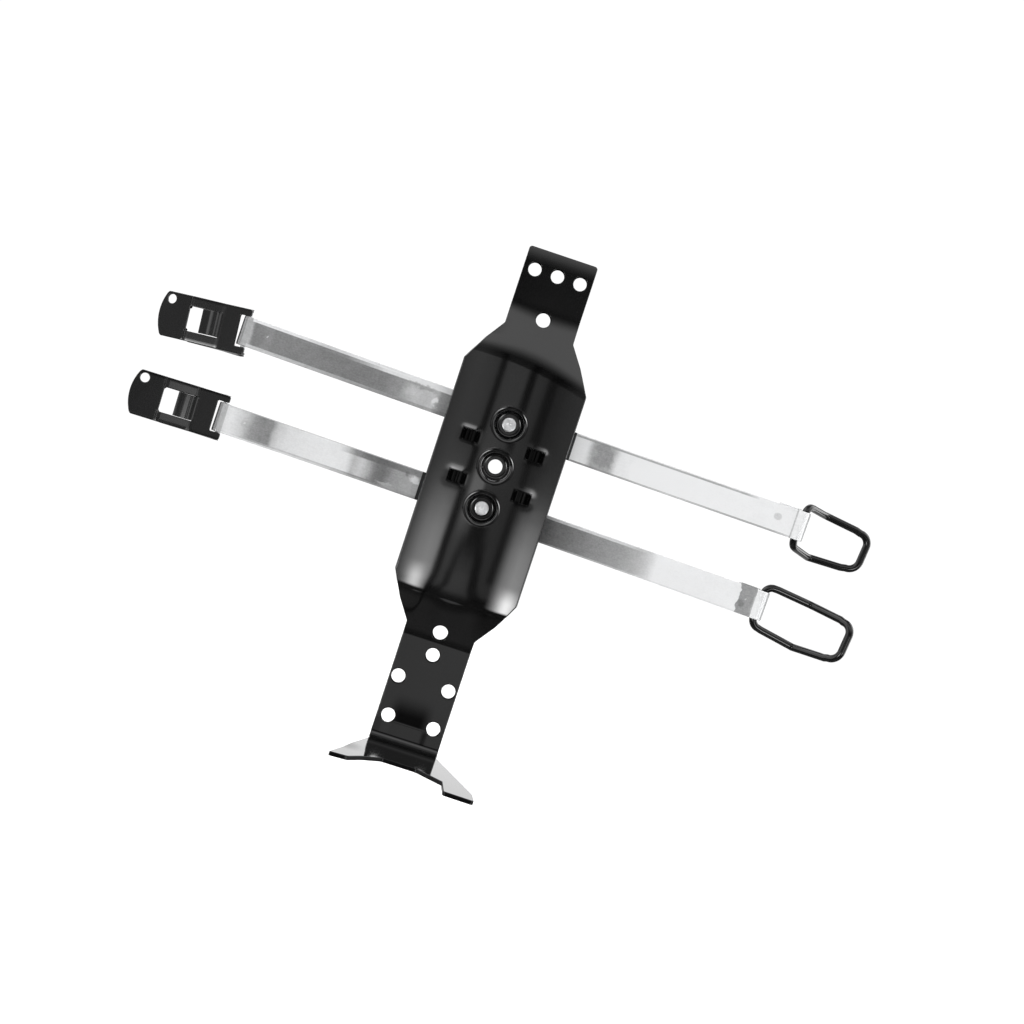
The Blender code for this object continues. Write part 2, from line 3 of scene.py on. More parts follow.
import bpy
import numpy as np
from mathutils import Matrix, Vector
from mathutils.geometry import delaunay_2d_cdt


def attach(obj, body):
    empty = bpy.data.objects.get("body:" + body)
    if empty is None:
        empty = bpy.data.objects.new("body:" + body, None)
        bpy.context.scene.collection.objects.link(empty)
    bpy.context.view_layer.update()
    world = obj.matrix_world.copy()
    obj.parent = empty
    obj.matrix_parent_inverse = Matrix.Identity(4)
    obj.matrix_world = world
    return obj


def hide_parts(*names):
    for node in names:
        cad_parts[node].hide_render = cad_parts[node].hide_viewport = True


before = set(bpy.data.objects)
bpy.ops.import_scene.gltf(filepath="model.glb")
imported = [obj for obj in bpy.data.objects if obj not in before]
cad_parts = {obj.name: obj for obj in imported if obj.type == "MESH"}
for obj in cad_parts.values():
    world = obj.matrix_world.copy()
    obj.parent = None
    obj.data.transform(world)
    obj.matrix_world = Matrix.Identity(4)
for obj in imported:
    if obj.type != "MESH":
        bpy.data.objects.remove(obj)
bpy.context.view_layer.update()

MM = 0.001

# ------------------------------------------------------------------ dimensions, mm (as in the CAD)
REF_Z = 73.3
SHEET = 1.5
NECK_HALF, TROUGH_HALF, TOP_Z = 14.8, 25.8, 91.7
TROUGH_LIFT, TROUGH_R = 6.0, 75.0
RAMP_TOP = (64.9, 46.5)
RAMP_LOW = (-75.3, -57.9)
FOOT_BEND_Z, FOOT_R = -119.3, 2.6
HOLES = ((-9.8, 82.7, 2.95), (0.0, 82.7, 2.95), (9.8, 82.7, 2.95), (0.0, 64.0, 3.15),
         (0.0, -72.3, 3.3), (0.0, -82.2, 3.05), (-10.97, -94.8, 3.1), (10.97, -94.8, 3.1),
         (-9.9, -111.8, 3.1), (9.9, -111.8, 3.1))
DIMPLE_PITCH, MID_Z = 18.05, 0.6
DIMPLE_DEPTH = 3.0
LUG_X, LUG_Z, LUG_MID, LUG_W, LUG_H, LUG_DEPTH = 13.8, 8.95, 0.8, 7.6, 4.8, 4.0
BAND_W, BAND_T, BAND_GAP = 11.8, 0.6, 0.3
BAND_TILT, BAND_OFFSET = math.radians(1.05), 0.35
BAND_BOW, BAND_FLAT, BAND_TAIL = 10.0, 22.0, 10.5
ROLL_R = (1.8, 2.2)
BAND_ENDS = {"upper": (-112.8, 125.5), "lower": (-111.8, 120.3)}
BAND_FRONT = TROUGH_LIFT - DIMPLE_DEPTH - BAND_GAP
LEVER_T, LEVER_W, PIN_R = 1.1, 18.5, 1.1
LEVER_LIE = {"upper": (5.6, 16.0), "lower": (2.0, 0.0)}
WIRE_R = 1.57
BAIL_NEAR, BAIL_FAR, BAIL_KINK = 20.5, 21.4, 52.0
BAIL_HALF = (8.8, 9.5, 7.9)
BAIL_CORNER = (3.8, 4.6)
BAIL_LIE = {"upper": (-51.0, 3.7, 2.0, -1.5), "lower": (-6.0, 4.2, 3.2, -2.0)}


# ------------------------------------------------------------------ mesh helpers
def new_object(name, verts, faces, normals=None):
    me = bpy.data.meshes.new(name)
    me.from_pydata([tuple(v) for v in verts], [], faces)
    me.validate(clean_customdata=False)
    me.shade_smooth()
    if normals is not None:
        me.normals_split_custom_set_from_vertices([tuple(n) for n in normals])
    ob = bpy.data.objects.new(name, me)
    bpy.context.scene.collection.objects.link(ob)
    return ob


def unit(a):
    return a / np.maximum(np.linalg.norm(a, axis=-1, keepdims=True), 1e-12)


def rounded(points, radii, step=0.4, run=0.9):
    """A closed outline with rounded corners, points every step on arcs and every run on straights."""
    pts = [Vector(p) for p in points]
    n = len(pts)
    parts = []
    for i in range(n):
        a, b, c = pts[i - 1], pts[i], pts[(i + 1) % n]
        r = radii[i] if isinstance(radii, (list, tuple)) else radii
        u, v = (a - b).normalized(), (c - b).normalized()
        ang = u.angle(v)
        if r < 1e-4 or abs(math.pi - ang) < 1e-3:
            parts.append([b.copy()])
            continue
        d = r / math.tan(ang / 2)
        d = min(d, 0.48 * min((a - b).length, (c - b).length))
        r = d * math.tan(ang / 2)
        centre = b + (u + v).normalized() * (r / math.sin(ang / 2))
        s, e = b + u * d, b + v * d
        a0 = math.atan2(s.y - centre.y, s.x - centre.x)
        a1 = math.atan2(e.y - centre.y, e.x - centre.x)
        da = (a1 - a0 + math.pi) % (2 * math.pi) - math.pi
        k = max(3, int(abs(da) * r / step) + 1)
        parts.append([Vector((centre.x + r * math.cos(a0 + da * j / k), centre.y + r * math.sin(a0 + da * j / k)))
                      for j in range(k + 1)])
    out = []
    for i in range(n):
        out += parts[i]
        p, q = parts[i][-1], parts[(i + 1) % n][0]
        k = max(1, int((q - p).length / run))
        out += [p.lerp(q, j / k) for j in range(1, k)]
    return np.array([(p.x, p.y) for p in out])


def ring(cx, cy, r, n=56):
    t = -np.arange(n) * 2 * math.pi / n
    return np.stack([cx + r * np.cos(t), cy + r * np.sin(t)], 1)


def signed_area(p):
    x, y = p[:, 0], p[:, 1]
    return 0.5 * float(np.sum(x * np.roll(y, -1) - np.roll(x, -1) * y))


def outward(loop):
    """Vertex normals pointing away from the material, which lies to the left of the loop."""
    e = np.roll(loop, -1, 0) - loop
    n = unit(np.stack([e[:, 1], -e[:, 0]], 1))
    m = unit(n + np.roll(n, 1, 0))
    c = np.maximum(0.5, np.sum(m * n, 1, keepdims=True))
    return m, m / c


def inside(loops, pts):
    """Even-odd test of points against all the loops together."""
    odd = np.zeros(len(pts), bool)
    for lp in loops:
        a, b = lp, np.roll(lp, -1, 0)
        for (x0, y0), (x1, y1) in zip(a, b):
            if y0 == y1:
                continue
            hit = ((pts[:, 1] >= min(y0, y1)) & (pts[:, 1] < max(y0, y1))
                   & (pts[:, 0] < x0 + (pts[:, 1] - y0) * (x1 - x0) / (y1 - y0)))
            odd ^= hit
    return odd


def far_from(loops, pts, gap):
    keep = np.ones(len(pts), bool)
    for lp in loops:
        for i in range(0, len(lp), 64):
            block = lp[i:i + 64]
            d = np.min(np.linalg.norm(pts[:, None, :] - block[None], axis=2), axis=1)
            keep &= d > gap
    return keep


def sheet_solid(name, loops, fill, surf, thick, edge, seg=3, taper=None):
    """A bent sheet with rounded rims. loops: outer and hole outlines in the flat pattern;
    fill: points between them; surf: flat pattern -> front face; thick, edge: mm."""
    loops = [lp if (signed_area(lp) > 0) == (i == 0) else lp[::-1].copy() for i, lp in enumerate(loops)]
    eps = 0.02

    def frame_at(p):
        x, y = p[:, 0], p[:, 1]
        a = surf(x + eps, y) - surf(x - eps, y)
        b = surf(x, y + eps) - surf(x, y - eps)
        return surf(x, y), unit(np.cross(b, a))

    def deep(p):
        return thick(p[:, 0], p[:, 1]) if callable(thick) else np.full(len(p), float(thick))

    rims = edge if isinstance(edge, (list, tuple)) else [edge] * len(loops)
    ends, dirs = [], []
    for lp, e in zip(loops, rims):
        m, miter = outward(lp)
        ends.append(lp - miter * e)
        dirs.append((m, miter))
    pts = fill[inside(ends, fill)]
    pts = pts[far_from(ends, pts, 0.33)]
    flat = np.concatenate(ends + [pts])
    edges, start = [], 0
    for lp in ends:
        k = len(lp)
        edges += [(start + i, start + (i + 1) % k) for i in range(k)]
        start += k
    got = delaunay_2d_cdt([Vector(p) for p in flat], edges, [], 0, 1e-6)
    vs, fs, ov = got[0], got[2], got[3]
    back_to = [o[0] if o else -1 for o in ov]
    co2 = np.array([(v.x, v.y) for v in vs])
    tri = np.array(fs)
    cen = co2[tri].mean(1)
    tri = tri[inside(ends, cen)]
    tri = np.array([[back_to[i] for i in t] for t in tri])
    tri = tri[(tri >= 0).all(1)]

    front, fn = frame_at(flat)
    back = front - fn * deep(flat)[:, None]
    verts = [front, back]
    norms = [fn, -fn]
    nv = len(flat)
    a, b, c = front[tri[:, 0]], front[tri[:, 1]], front[tri[:, 2]]
    wrong = np.sum(np.cross(b - a, c - a) * fn[tri[:, 0]], 1) < 0
    tri[wrong] = tri[wrong][:, ::-1]
    faces = [tuple(t) for t in tri.tolist()] + [tuple(t[::-1] + nv) for t in tri]
    count = 2 * nv
    start = 0
    for number, (lp, (m, miter)) in enumerate(zip(loops, dirs)):
        k = len(lp)
        edge = rims[number]
        slope = taper[number] if taper else 0.0
        rings = [np.arange(start, start + k)]
        turns = [(math.radians(90.0 * j / seg), 0) for j in range(1, seg + 1)]
        turns += [(math.radians(90.0 * j / seg), 1) for j in range(seg, 0, -1)]
        for phi, side in turns:
            p = lp - miter * (edge * (1 - math.sin(phi)))
            pos, nn = frame_at(p)
            depth = np.full(k, edge * (1 - math.cos(phi)))
            if side:
                depth = deep(p) - depth
            if slope:
                p = p + m * (slope * np.minimum(1.0, depth / (0.8 * deep(p))))[:, None]
                pos, nn = frame_at(p)
            out3 = unit(surf(p[:, 0] + m[:, 0] * eps, p[:, 1] + m[:, 1] * eps)
                        - surf(p[:, 0] - m[:, 0] * eps, p[:, 1] - m[:, 1] * eps))
            verts.append(pos - nn * depth[:, None])
            norms.append(unit(nn * (math.cos(phi) * (-1 if side else 1)) + out3 * math.sin(phi)))
            rings.append(np.arange(count, count + k))
            count += k
        rings.append(np.arange(nv + start, nv + start + k))
        for r0, r1 in zip(rings[:-1], rings[1:]):
            for i in range(k):
                j = (i + 1) % k
                faces.append((int(r0[i]), int(r1[i]), int(r1[j]), int(r0[j])))
        start += k
    verts = np.concatenate(verts)
    norms = np.concatenate(norms)
    # rim faces wind the same way as their normals
    q = faces[-1]
    test = np.cross(verts[q[1]] - verts[q[0]], verts[q[2]] - verts[q[0]])
    if float(np.dot(test, norms[q[0]])) < 0:
        rim_from = 2 * len(tri)
        faces = faces[:rim_from] + [tuple(f[::-1]) for f in faces[rim_from:]]
    return verts, faces, norms


def sweep(path, inward, loop, v_axis, loop_normals):
    """A closed cross-section carried along a path. path, inward: (n, 3); loop: (v, depth) pairs."""
    n, k = len(path), len(loop)
    v, d = loop[:, 0], loop[:, 1]
    pos = path[:, None, :] + v_axis[None, None, :] * v[None, :, None] + inward[:, None, :] * d[None, :, None]
    nor = v_axis[None, None, :] * loop_normals[None, :, 0, None] + inward[:, None, :] * loop_normals[None, :, 1, None]
    verts = pos.reshape(-1, 3)
    norms = nor.reshape(-1, 3)
    faces = []
    for i in range(n - 1):
        for j in range(k):
            j2 = (j + 1) % k
            faces.append((i * k + j, i * k + j2, (i + 1) * k + j2, (i + 1) * k + j))
    faces.append(tuple(range(k))[::-1])
    faces.append(tuple((n - 1) * k + j for j in range(k)))
    return verts, faces, norms


def wound(v, f, n):
    """Faces that wind the same way as their vertex normals."""
    out = []
    for face in f:
        p = v[list(face)]
        area = np.zeros(3)
        for i in range(1, len(face) - 1):
            area += np.cross(p[i] - p[0], p[i + 1] - p[0])
        ref = n[list(face)].sum(0)
        out.append(tuple(face) if float(area @ ref) >= 0 else tuple(reversed(face)))
    return out


def merge(name, chunks):
    """Several (verts, faces, normals) in mm as one object in metres."""
    vs, fs, ns, base = [], [], [], 0
    for v, f, n in chunks:
        v, n = np.asarray(v), np.asarray(n)
        vs.append(v)
        ns.append(n)
        fs += [tuple(i + base for i in face) for face in wound(v, f, n)]
        base += len(v)
    return new_object(name, np.concatenate(vs) * MM, fs, np.concatenate(ns))


def moved(chunk, m):
    """A chunk in mm carried by a matrix in metres."""
    v, f, n = chunk
    r = np.array(m.to_3x3())
    t = np.array(m.to_translation()) / MM
    return np.asarray(v) @ r.T + t, f, np.asarray(n) @ r.T


def turned(profile, steps=64, soft=40.0):
    """(radius, height) turned about z; every corner stays sharp; soft is not used."""
    p = np.array(profile, float)
    verts, norms, faces = [], [], []
    t = np.arange(steps) * 2 * math.pi / steps
    ct, st = np.cos(t), np.sin(t)
    base = 0
    for a, b in zip(p[:-1], p[1:]):
        e = b - a
        n2 = unit(np.array([e[1], -e[0]]))
        for q in (a, b):
            verts.append(np.stack([q[0] * ct, q[0] * st, np.full(steps, q[1])], 1))
            norms.append(np.stack([n2[0] * ct, n2[0] * st, np.full(steps, n2[1])], 1))
        for i in range(steps):
            j = (i + 1) % steps
            faces.append((base + i, base + j, base + steps + j, base + steps + i))
        base += 2 * steps
    return np.concatenate(verts), faces, np.concatenate(norms)


# ------------------------------------------------------------------ materials
def nodes_of(name):
    mat = bpy.data.materials.new(name)
    mat.use_nodes = True
    nt = mat.node_tree
    return mat, nt, nt.nodes["Principled BSDF"]


class Net:
    """Short names for building a node net."""

    def __init__(self, nt):
        self.nt = nt

    def new(self, kind, **values):
        n = self.nt.nodes.new(kind)
        for k, v in values.items():
            setattr(n, k, v)
        return n

    def put(self, socket, value):
        if isinstance(value, bpy.types.NodeSocket):
            self.nt.links.new(value, socket)
        else:
            socket.default_value = value

    def math(self, op, a, b=0.0, c=None, clamp=False):
        n = self.new("ShaderNodeMath", operation=op, use_clamp=clamp)
        self.put(n.inputs[0], a)
        self.put(n.inputs[1], b)
        if c is not None:
            self.put(n.inputs[2], c)
        return n.outputs[0]

    def xyz(self):
        co = self.new("ShaderNodeTexCoord")
        s = self.new("ShaderNodeSeparateXYZ")
        self.nt.links.new(co.outputs["Object"], s.inputs[0])
        return co.outputs["Object"], s.outputs[0], s.outputs[1], s.outputs[2]

    def scaled(self, vec, sx, sy, sz, shift=(0, 0, 0)):
        m = self.new("ShaderNodeMapping")
        m.inputs["Scale"].default_value = (sx, sy, sz)
        m.inputs["Location"].default_value = shift
        self.nt.links.new(vec, m.inputs["Vector"])
        return m.outputs[0]

    def noise(self, vec, scale, detail=2.0, rough=0.5, dist=0.0):
        n = self.new("ShaderNodeTexNoise")
        n.inputs["Scale"].default_value = scale
        n.inputs["Detail"].default_value = detail
        n.inputs["Roughness"].default_value = rough
        n.inputs["Distortion"].default_value = dist
        self.nt.links.new(vec, n.inputs["Vector"])
        return n.outputs["Fac"]

    def cells(self, vec, scale, feature="F1"):
        n = self.new("ShaderNodeTexVoronoi", feature=feature)
        n.inputs["Scale"].default_value = scale
        self.nt.links.new(vec, n.inputs["Vector"])
        return n

    def remap(self, value, a, b, c, d, smooth=False):
        n = self.new("ShaderNodeMapRange", clamp=True)
        if smooth:
            n.interpolation_type = "SMOOTHSTEP"
        self.put(n.inputs["Value"], value)
        n.inputs["From Min"].default_value, n.inputs["From Max"].default_value = a, b
        n.inputs["To Min"].default_value, n.inputs["To Max"].default_value = c, d
        return n.outputs["Result"]

    def mix(self, fac, a, b):
        n = self.new("ShaderNodeMix", data_type="FLOAT")
        self.put(n.inputs[0], fac)
        self.put(n.inputs[2], a)
        self.put(n.inputs[3], b)
        return n.outputs[0]

    def ramp(self, value, stops, interp="LINEAR"):
        n = self.new("ShaderNodeValToRGB")
        n.color_ramp.interpolation = interp
        el = n.color_ramp.elements
        while len(el) > 1:
            el.remove(el[-1])
        el[0].position = stops[0][0]
        el[0].color = (stops[0][1],) * 3 + (1,)
        for p, v in stops[1:]:
            e = el.new(p)
            e.color = (v, v, v, 1)
        self.put(n.inputs["Fac"], value)
        return n.outputs["Color"]

    def grey(self, value, tint=(1.0, 1.0, 1.0)):
        n = self.new("ShaderNodeCombineColor")
        for k in range(3):
            self.put(n.inputs[k], self.math("MULTIPLY", value, tint[k]) if tint[k] != 1.0 else value)
        return n.outputs[0]

    def bump(self, height, strength, distance, chain=None):
        n = self.new("ShaderNodeBump")
        n.inputs["Strength"].default_value = strength
        n.inputs["Distance"].default_value = distance
        self.nt.links.new(height, n.inputs["Height"])
        if chain is not None:
            self.nt.links.new(chain, n.inputs["Normal"])
        return n.outputs[0]

    def blob(self, x, z, cx, cz, rx, rz, lo=0.5, hi=1.0):
        """1 inside an ellipse about (cx, cz) in mm, 0 outside, soft from hi to lo radii."""
        dx = self.math("DIVIDE", self.math("SUBTRACT", x, cx * MM), rx * MM)
        dz = self.math("DIVIDE", self.math("SUBTRACT", z, cz * MM), rz * MM)
        r = self.math("SQRT", self.math("ADD", self.math("MULTIPLY", dx, dx), self.math("MULTIPLY", dz, dz)))
        return self.remap(r, lo, hi, 1.0, 0.0, smooth=True)

    def stripe(self, value, a, b, soft):
        """1 between a and b (mm), falling to 0 over soft mm outside."""
        up = self.remap(value, (a - soft) * MM, a * MM, 0.0, 1.0, smooth=True)
        down = self.remap(value, b * MM, (b + soft) * MM, 1.0, 0.0, smooth=True)
        return self.math("MULTIPLY", up, down)


PAINT = 0.0022


def black_paint(name, rough=0.10, level=1.0, painted_shade_openings=()):
    mat, nt, bsdf = nodes_of(name)
    g = Net(nt)
    vec, x, y, z = g.xyz()
    tone = g.noise(vec, 90.0, 3.0, 0.55)
    value = g.remap(tone, 0.3, 0.7, PAINT * 0.8 * level, PAINT * 1.25 * level)
    specks = g.cells(vec, 420.0)
    fleck = g.remap(specks.outputs["Distance"], 0.03, 0.09, 1.0, 0.0)
    few = g.math("GREATER_THAN", g.noise(vec, 260.0, 0.0), 0.68)
    value = g.math("ADD", value, g.math("MULTIPLY", g.math("MULTIPLY", fleck, few), 0.006))
    g.put(bsdf.inputs["Base Color"], g.grey(value, (1.0, 1.0, 1.03)))
    patch = g.noise(vec, 35.0, 2.0)
    g.put(bsdf.inputs["Roughness"], g.remap(patch, 0.3, 0.7, rough - 0.015, rough + 0.02))
    peel = g.noise(vec, 700.0, 1.0)
    wave = g.noise(vec, 120.0, 1.0)
    n1 = g.bump(peel, 0.06, 0.00002)
    g.put(bsdf.inputs["Normal"], g.bump(wave, 0.08, 0.00008, n1))
    bsdf.inputs["Specular IOR Level"].default_value = 0.5
    if painted_shade_openings:
        # painted shade: the specular level is lowered inside the punched openings and slots, over the dent above the
        # foot and along the foot's front edge
        mask = None
        for cx, cz, hx, hz, strength in painted_shade_openings:
            if hz:
                one = g.math("MULTIPLY", g.stripe(x, cx - hx, cx + hx, 0.25), g.stripe(z, cz - hz, cz + hz, 0.25))
            else:
                one = g.blob(x, z, cx, cz, hx, hx, 0.86, 1.0)
            one = g.math("MULTIPLY", one, strength)
            mask = one if mask is None else g.math("MAXIMUM", mask, one)
        # painted shade over the dent between the lowest holes, above the foot
        low = g.remap(z, (-100.5 - REF_Z) * MM, (-110.5 - REF_Z) * MM, 0.0, 1.0, smooth=True)
        low = g.math("MULTIPLY", low, g.remap(z, (-113.6 - REF_Z) * MM, (-113.1 - REF_Z) * MM, 0.0, 1.0))
        low = g.math("MULTIPLY", low, g.stripe(x, -5.5, 3.5, 6.0))
        mask = g.math("MAXIMUM", mask, g.math("MULTIPLY", low, 0.92))
        # painted shade along the foot's front edge
        side = g.new("ShaderNodeSeparateXYZ")
        nt.links.new(g.new("ShaderNodeNewGeometry").outputs["Normal"], side.inputs[0])
        upright = g.remap(g.math("ABSOLUTE", side.outputs[2]), 0.3, 0.75, 1.0, 0.0)
        rim = g.math("MULTIPLY", upright, g.math("LESS_THAN", z, (-122.05 - REF_Z) * MM))
        mask = g.math("MAXIMUM", mask, g.math("MULTIPLY", rim, 0.8))
        g.put(bsdf.inputs["Specular IOR Level"], g.math("MULTIPLY_ADD", mask, -0.5, 0.5))
    bsdf.inputs["Metallic"].default_value = 0.0
    return mat


def zinc(name, which=None, base=0.62, rough=0.36):
    """Bright zinc plating with a faint spangle; on the bands, lighter and darker stretches are painted reflections,
    with painted shade beside the plate's edge and painted highlight and shade on the rolled ends.
    """
    mat, nt, bsdf = nodes_of(name)
    g = Net(nt)
    vec, x, y, z = g.xyz()
    spangle = g.cells(g.scaled(vec, 1.0, 1.0, 1.4), 1100.0)
    grain = g.noise(vec, 2600.0, 2.0, 0.6)
    cloud = g.noise(vec, 260.0, 4.0, 0.62, 0.5)
    scratch = g.noise(g.scaled(vec, 1.0, 1.0, 22.0), 190.0, 4.0, 0.75)
    level = base
    metal = 0.8
    if which:
        c = (MID_Z + DIMPLE_PITCH * (1 if which == "upper" else -1) - REF_Z) * MM
        across = g.math("ADD", g.math("SUBTRACT", z, c + BAND_OFFSET * MM), g.math("MULTIPLY", x, math.tan(BAND_TILT)))
        wob = g.math("MULTIPLY", g.math("SUBTRACT", g.noise(vec, 150.0, 3.0), 0.5), 0.003)
        xw = g.math("ADD", x, wob)

        def along(stops, pos=xw):
            t = g.math("ADD", g.math("MULTIPLY", pos, 1 / 0.26), 0.5)
            return g.ramp(t, [((p + 130.0) / 260.0, v) for p, v in stops])

        # painted reflections: lighter and darker stretches along the band
        level = along(BAND_PAINTED_REFLECTIONS[which])
        level = g.math("MULTIPLY", level, g.math("MULTIPLY_ADD", level, -0.18, 1.2))
        # painted reflections along the strip's edges
        for v0, v1, soft, strength, tone in BAND_EDGE_PAINTED_REFLECTIONS[which]:
            mask = g.math("MULTIPLY", g.stripe(across, v0, v1, soft), along(strength, x))
            level = g.mix(mask, level, along(tone, x) if isinstance(tone, tuple) else tone)
        # painted reflections as light and dark patches, and the spot-weld marks
        for mask, target in BAND_WELDS_AND_PAINTED_REFLECTIONS[which](g, x, across, vec):
            level = g.mix(mask, level, target)
        # painted shade: a near-black strip, with less metal, where the band comes out from behind the plate's edge
        shade_beside_plate = g.math("MULTIPLY", g.math("MULTIPLY", g.stripe(x, *BAND_PAINTED_SHADE_STRIP[which], 0.12), 1.0), 0.985)
        # painted highlight and shade on the rolled ends
        for side in (0, 1):
            end = BAND_ENDS[which][side]
            sign = 1 if side else -1
            out = g.math("MULTIPLY", g.math("SUBTRACT", x, end * MM), float(sign))
            for a, b, tone, strength in ROLL_PAINTED_LIGHT_AND_SHADE[side]:
                level = g.mix(g.math("MULTIPLY", g.stripe(out, a, b, 0.3), strength), level, tone)
        level = g.mix(shade_beside_plate, level, 0.006)
        metal = g.math("MULTIPLY", g.math("SUBTRACT", 1.0, shade_beside_plate), 0.4)
        # near the rolled ends metal and specular are turned down, so the painted highlight and shade carry the look
        fade = None
        for side in (0, 1):
            out = g.math("MULTIPLY", g.math("SUBTRACT", x, BAND_ENDS[which][side] * MM), 1.0 if side else -1.0)
            one = g.stripe(out, 1.6, 4.0, 0.3)
            fade = one if fade is None else g.math("MAXIMUM", fade, one)
        keep = g.math("MULTIPLY_ADD", fade, -0.92, 1.0)
        metal = g.math("MULTIPLY", metal, keep)
        g.put(bsdf.inputs["Specular IOR Level"], g.math("MULTIPLY", keep, 0.5))
    # the bands' darker stretches, painted reflections, get a stronger colour mottle
    spread = g.math("SUBTRACT", 1.14, level)
    if not which:
        spread = 0.95
    mottle = g.math("MULTIPLY", g.math("SUBTRACT", cloud, 0.5), 0.55)
    fleck = g.math("MULTIPLY", g.math("SUBTRACT", spangle.outputs["Distance"], 0.4), -0.30)
    fine = g.math("MULTIPLY", g.math("SUBTRACT", grain, 0.5), 0.42)
    lines = g.math("MULTIPLY", g.math("SUBTRACT", scratch, 0.5), 0.40)
    gain = g.math("ADD", g.math("ADD", mottle, lines), g.math("ADD", fleck, fine))
    gain = g.math("MULTIPLY_ADD", gain, spread, 1.0)
    value = g.math("MULTIPLY", level, gain, clamp=True)
    if which:
        value = g.math("MULTIPLY", value, 0.855)
    g.put(bsdf.inputs["Base Color"], g.grey(value, (0.985, 0.992, 1.0)))
    g.put(bsdf.inputs["Roughness"], g.remap(g.math("ADD", cloud, g.math("MULTIPLY", grain, 0.3)), 0.4, 0.85, rough - 0.06, rough + 0.08))
    g.put(bsdf.inputs["Metallic"], metal)
    n1 = g.bump(scratch, 0.10, 0.00002)
    g.put(bsdf.inputs["Normal"], g.bump(cloud, 0.12, 0.00005, n1))
    return mat


# painted reflections along each band's length, lighter and darker stretches: (mm from the middle, tone)
BAND_PAINTED_REFLECTIONS = {
    "upper": ((-116, 0.5), (-110.6, 0.44), (-109.6, 0.2), (-104.0, 0.24), (-98.0, 0.225), (-84.0, 0.22), (-66.0, 0.2), (-54.0, 0.22),
              (-47.0, 0.32), (-41.0, 0.56), (-35.0, 0.6), (-32.4, 0.66), (-30.6, 0.34), (-27.0, 0.28), (26.0, 0.9), (29.0, 0.98), (34.0, 0.95),
              (36.5, 0.46), (45.0, 0.42), (48.0, 0.90), (56.0, 1.0), (64.0, 1.0), (112.0, 0.96), (129.0, 0.96)),
    "lower": ((-115, 0.62), (-111.0, 0.68), (-107.5, 0.80), (-103.0, 0.62), (-98.5, 0.30), (-95.0, 0.235), (-91.2, 0.26), (-89.6, 0.54), (-85.0, 0.74),
              (-76.0, 0.84), (-66.0, 0.875), (-59.0, 0.86), (-56.0, 0.5), (-52.4, 0.64), (-49.5, 0.45), (-46.0, 0.19), (-43.0, 0.16), (-39.0, 0.34), (-33.0, 0.44),
              (-29.0, 0.50), (27.0, 0.08), (32.0, 0.125), (40.0, 0.19), (48.0, 0.27), (60.0, 0.36), (68.5, 0.5), (72.5, 0.72), (76.0, 0.98), (108.0, 0.95), (124.0, 0.97)),
}
# painted reflections, lighter and darker lines along the strip's edges: from, to (mm across), softness, strength along,
# tone
BAND_EDGE_PAINTED_REFLECTIONS = {
    "upper": (
        (4.75, 6.2, 0.35, ((-116, 0.9), (-92, 0.9), (-80, 0.6), (-68, 0.85), (-27, 0.9), (-20, 0.0), (126, 0.0)), 0.97),
        (3.5, 4.75, 0.5, ((-116, 0.0), (-72, 0.05), (-62, 0.4), (-54, 0.85), (-27, 0.95), (-20, 0.0), (126, 0.0)), 0.97),
        (-6.2, -4.9, 0.4, ((-116, 0.9), (-84, 0.75), (-60, 0.7), (-40, 0.6), (-27, 0.4), (-20, 0.0), (126, 0.0)),
         ((-116, 0.7), (-84, 0.6), (-60, 0.42), (-40, 0.3), (-27, 0.24), (126, 0.2))),
        (4.75, 5.25, 0.3, ((-116, 0.0), (26, 0.0), (29, 0.85), (102, 0.8), (107, 0.0), (126, 0.0)), 0.40),
        (-6.2, -5.45, 0.25, ((-116, 0.0), (26, 0.0), (29, 0.9), (116, 0.8), (126, 0.0)), ((-116, 0.3), (30, 0.28), (48, 0.4), (70, 0.62), (92, 0.42), (126, 0.34))),
        (5.6, 6.2, 0.25, ((-116, 0.0), (26, 0.0), (29, 0.9), (126, 0.9)), 0.9),
    ),
    "lower": (
        (-5.3, -4.85, 0.25, ((-116, 0.0), (-106, 0.1), (-98, 0.6), (-56, 0.85), (-27, 0.6), (-20, 0.0), (126, 0.0)), ((-116, 0.5), (-64, 0.5), (-54, 0.28), (-46, 0.25), (-40, 0.45), (-27, 0.4), (126, 0.4))),
        (-6.2, -5.55, 0.25, ((-116, 0.9), (-27, 0.9), (-20, 0.0), (26, 0.0), (29, 0.9), (126, 0.9)),
         ((-116, 0.92), (-84, 0.8), (-68, 0.72), (-60, 0.5), (-48, 0.4), (-27, 0.38), (27, 0.2), (40, 0.45), (52, 0.6), (64, 0.68), (76, 0.88), (126, 0.9))),
        (3.4, 5.5, 0.7, ((-116, 0.0), (-63, 0.0), (-57, 0.55), (-51, 0.9), (-44, 0.9), (-36, 0.65), (-28, 0.5), (-20, 0.0), (126, 0.0)), 0.16),
        (5.6, 6.2, 0.2, ((-116, 0.7), (-27, 0.8), (-20, 0.0), (126, 0.0)), 0.6),
        (4.75, 6.2, 0.4, ((-116, 0.0), (25, 0.0), (27, 0.35), (36, 0.7), (44, 0.9), (60, 0.9), (66, 0.5), (71, 0.3), (78, 0.0), (126, 0.0)), 0.82),
        (5.7, 6.2, 0.2, ((-116, 0.0), (26, 0.0), (29, 0.8), (126, 0.8)), 0.9),
    ),
}
# painted shade: a near-black stretch of each band beside the plate's edge, x from, to (mm)
BAND_PAINTED_SHADE_STRIP = {"upper": (24.0, 27.9), "lower": (-27.5, -24.0)}
# painted highlight and shade on the rolled ends: from, to (mm outward from the roll's axis), tone, strength
ROLL_PAINTED_LIGHT_AND_SHADE = (((-1.6, 0.2, 0.46, 0.85), (0.5, 1.5, 0.26, 0.95), (1.7, 4.0, 0.03, 0.98)),
             ((-2.6, 1.5, 0.96, 1.0), (-3.2, -2.9, 0.45, 0.7), (1.75, 4.0, 0.35, 0.95)))


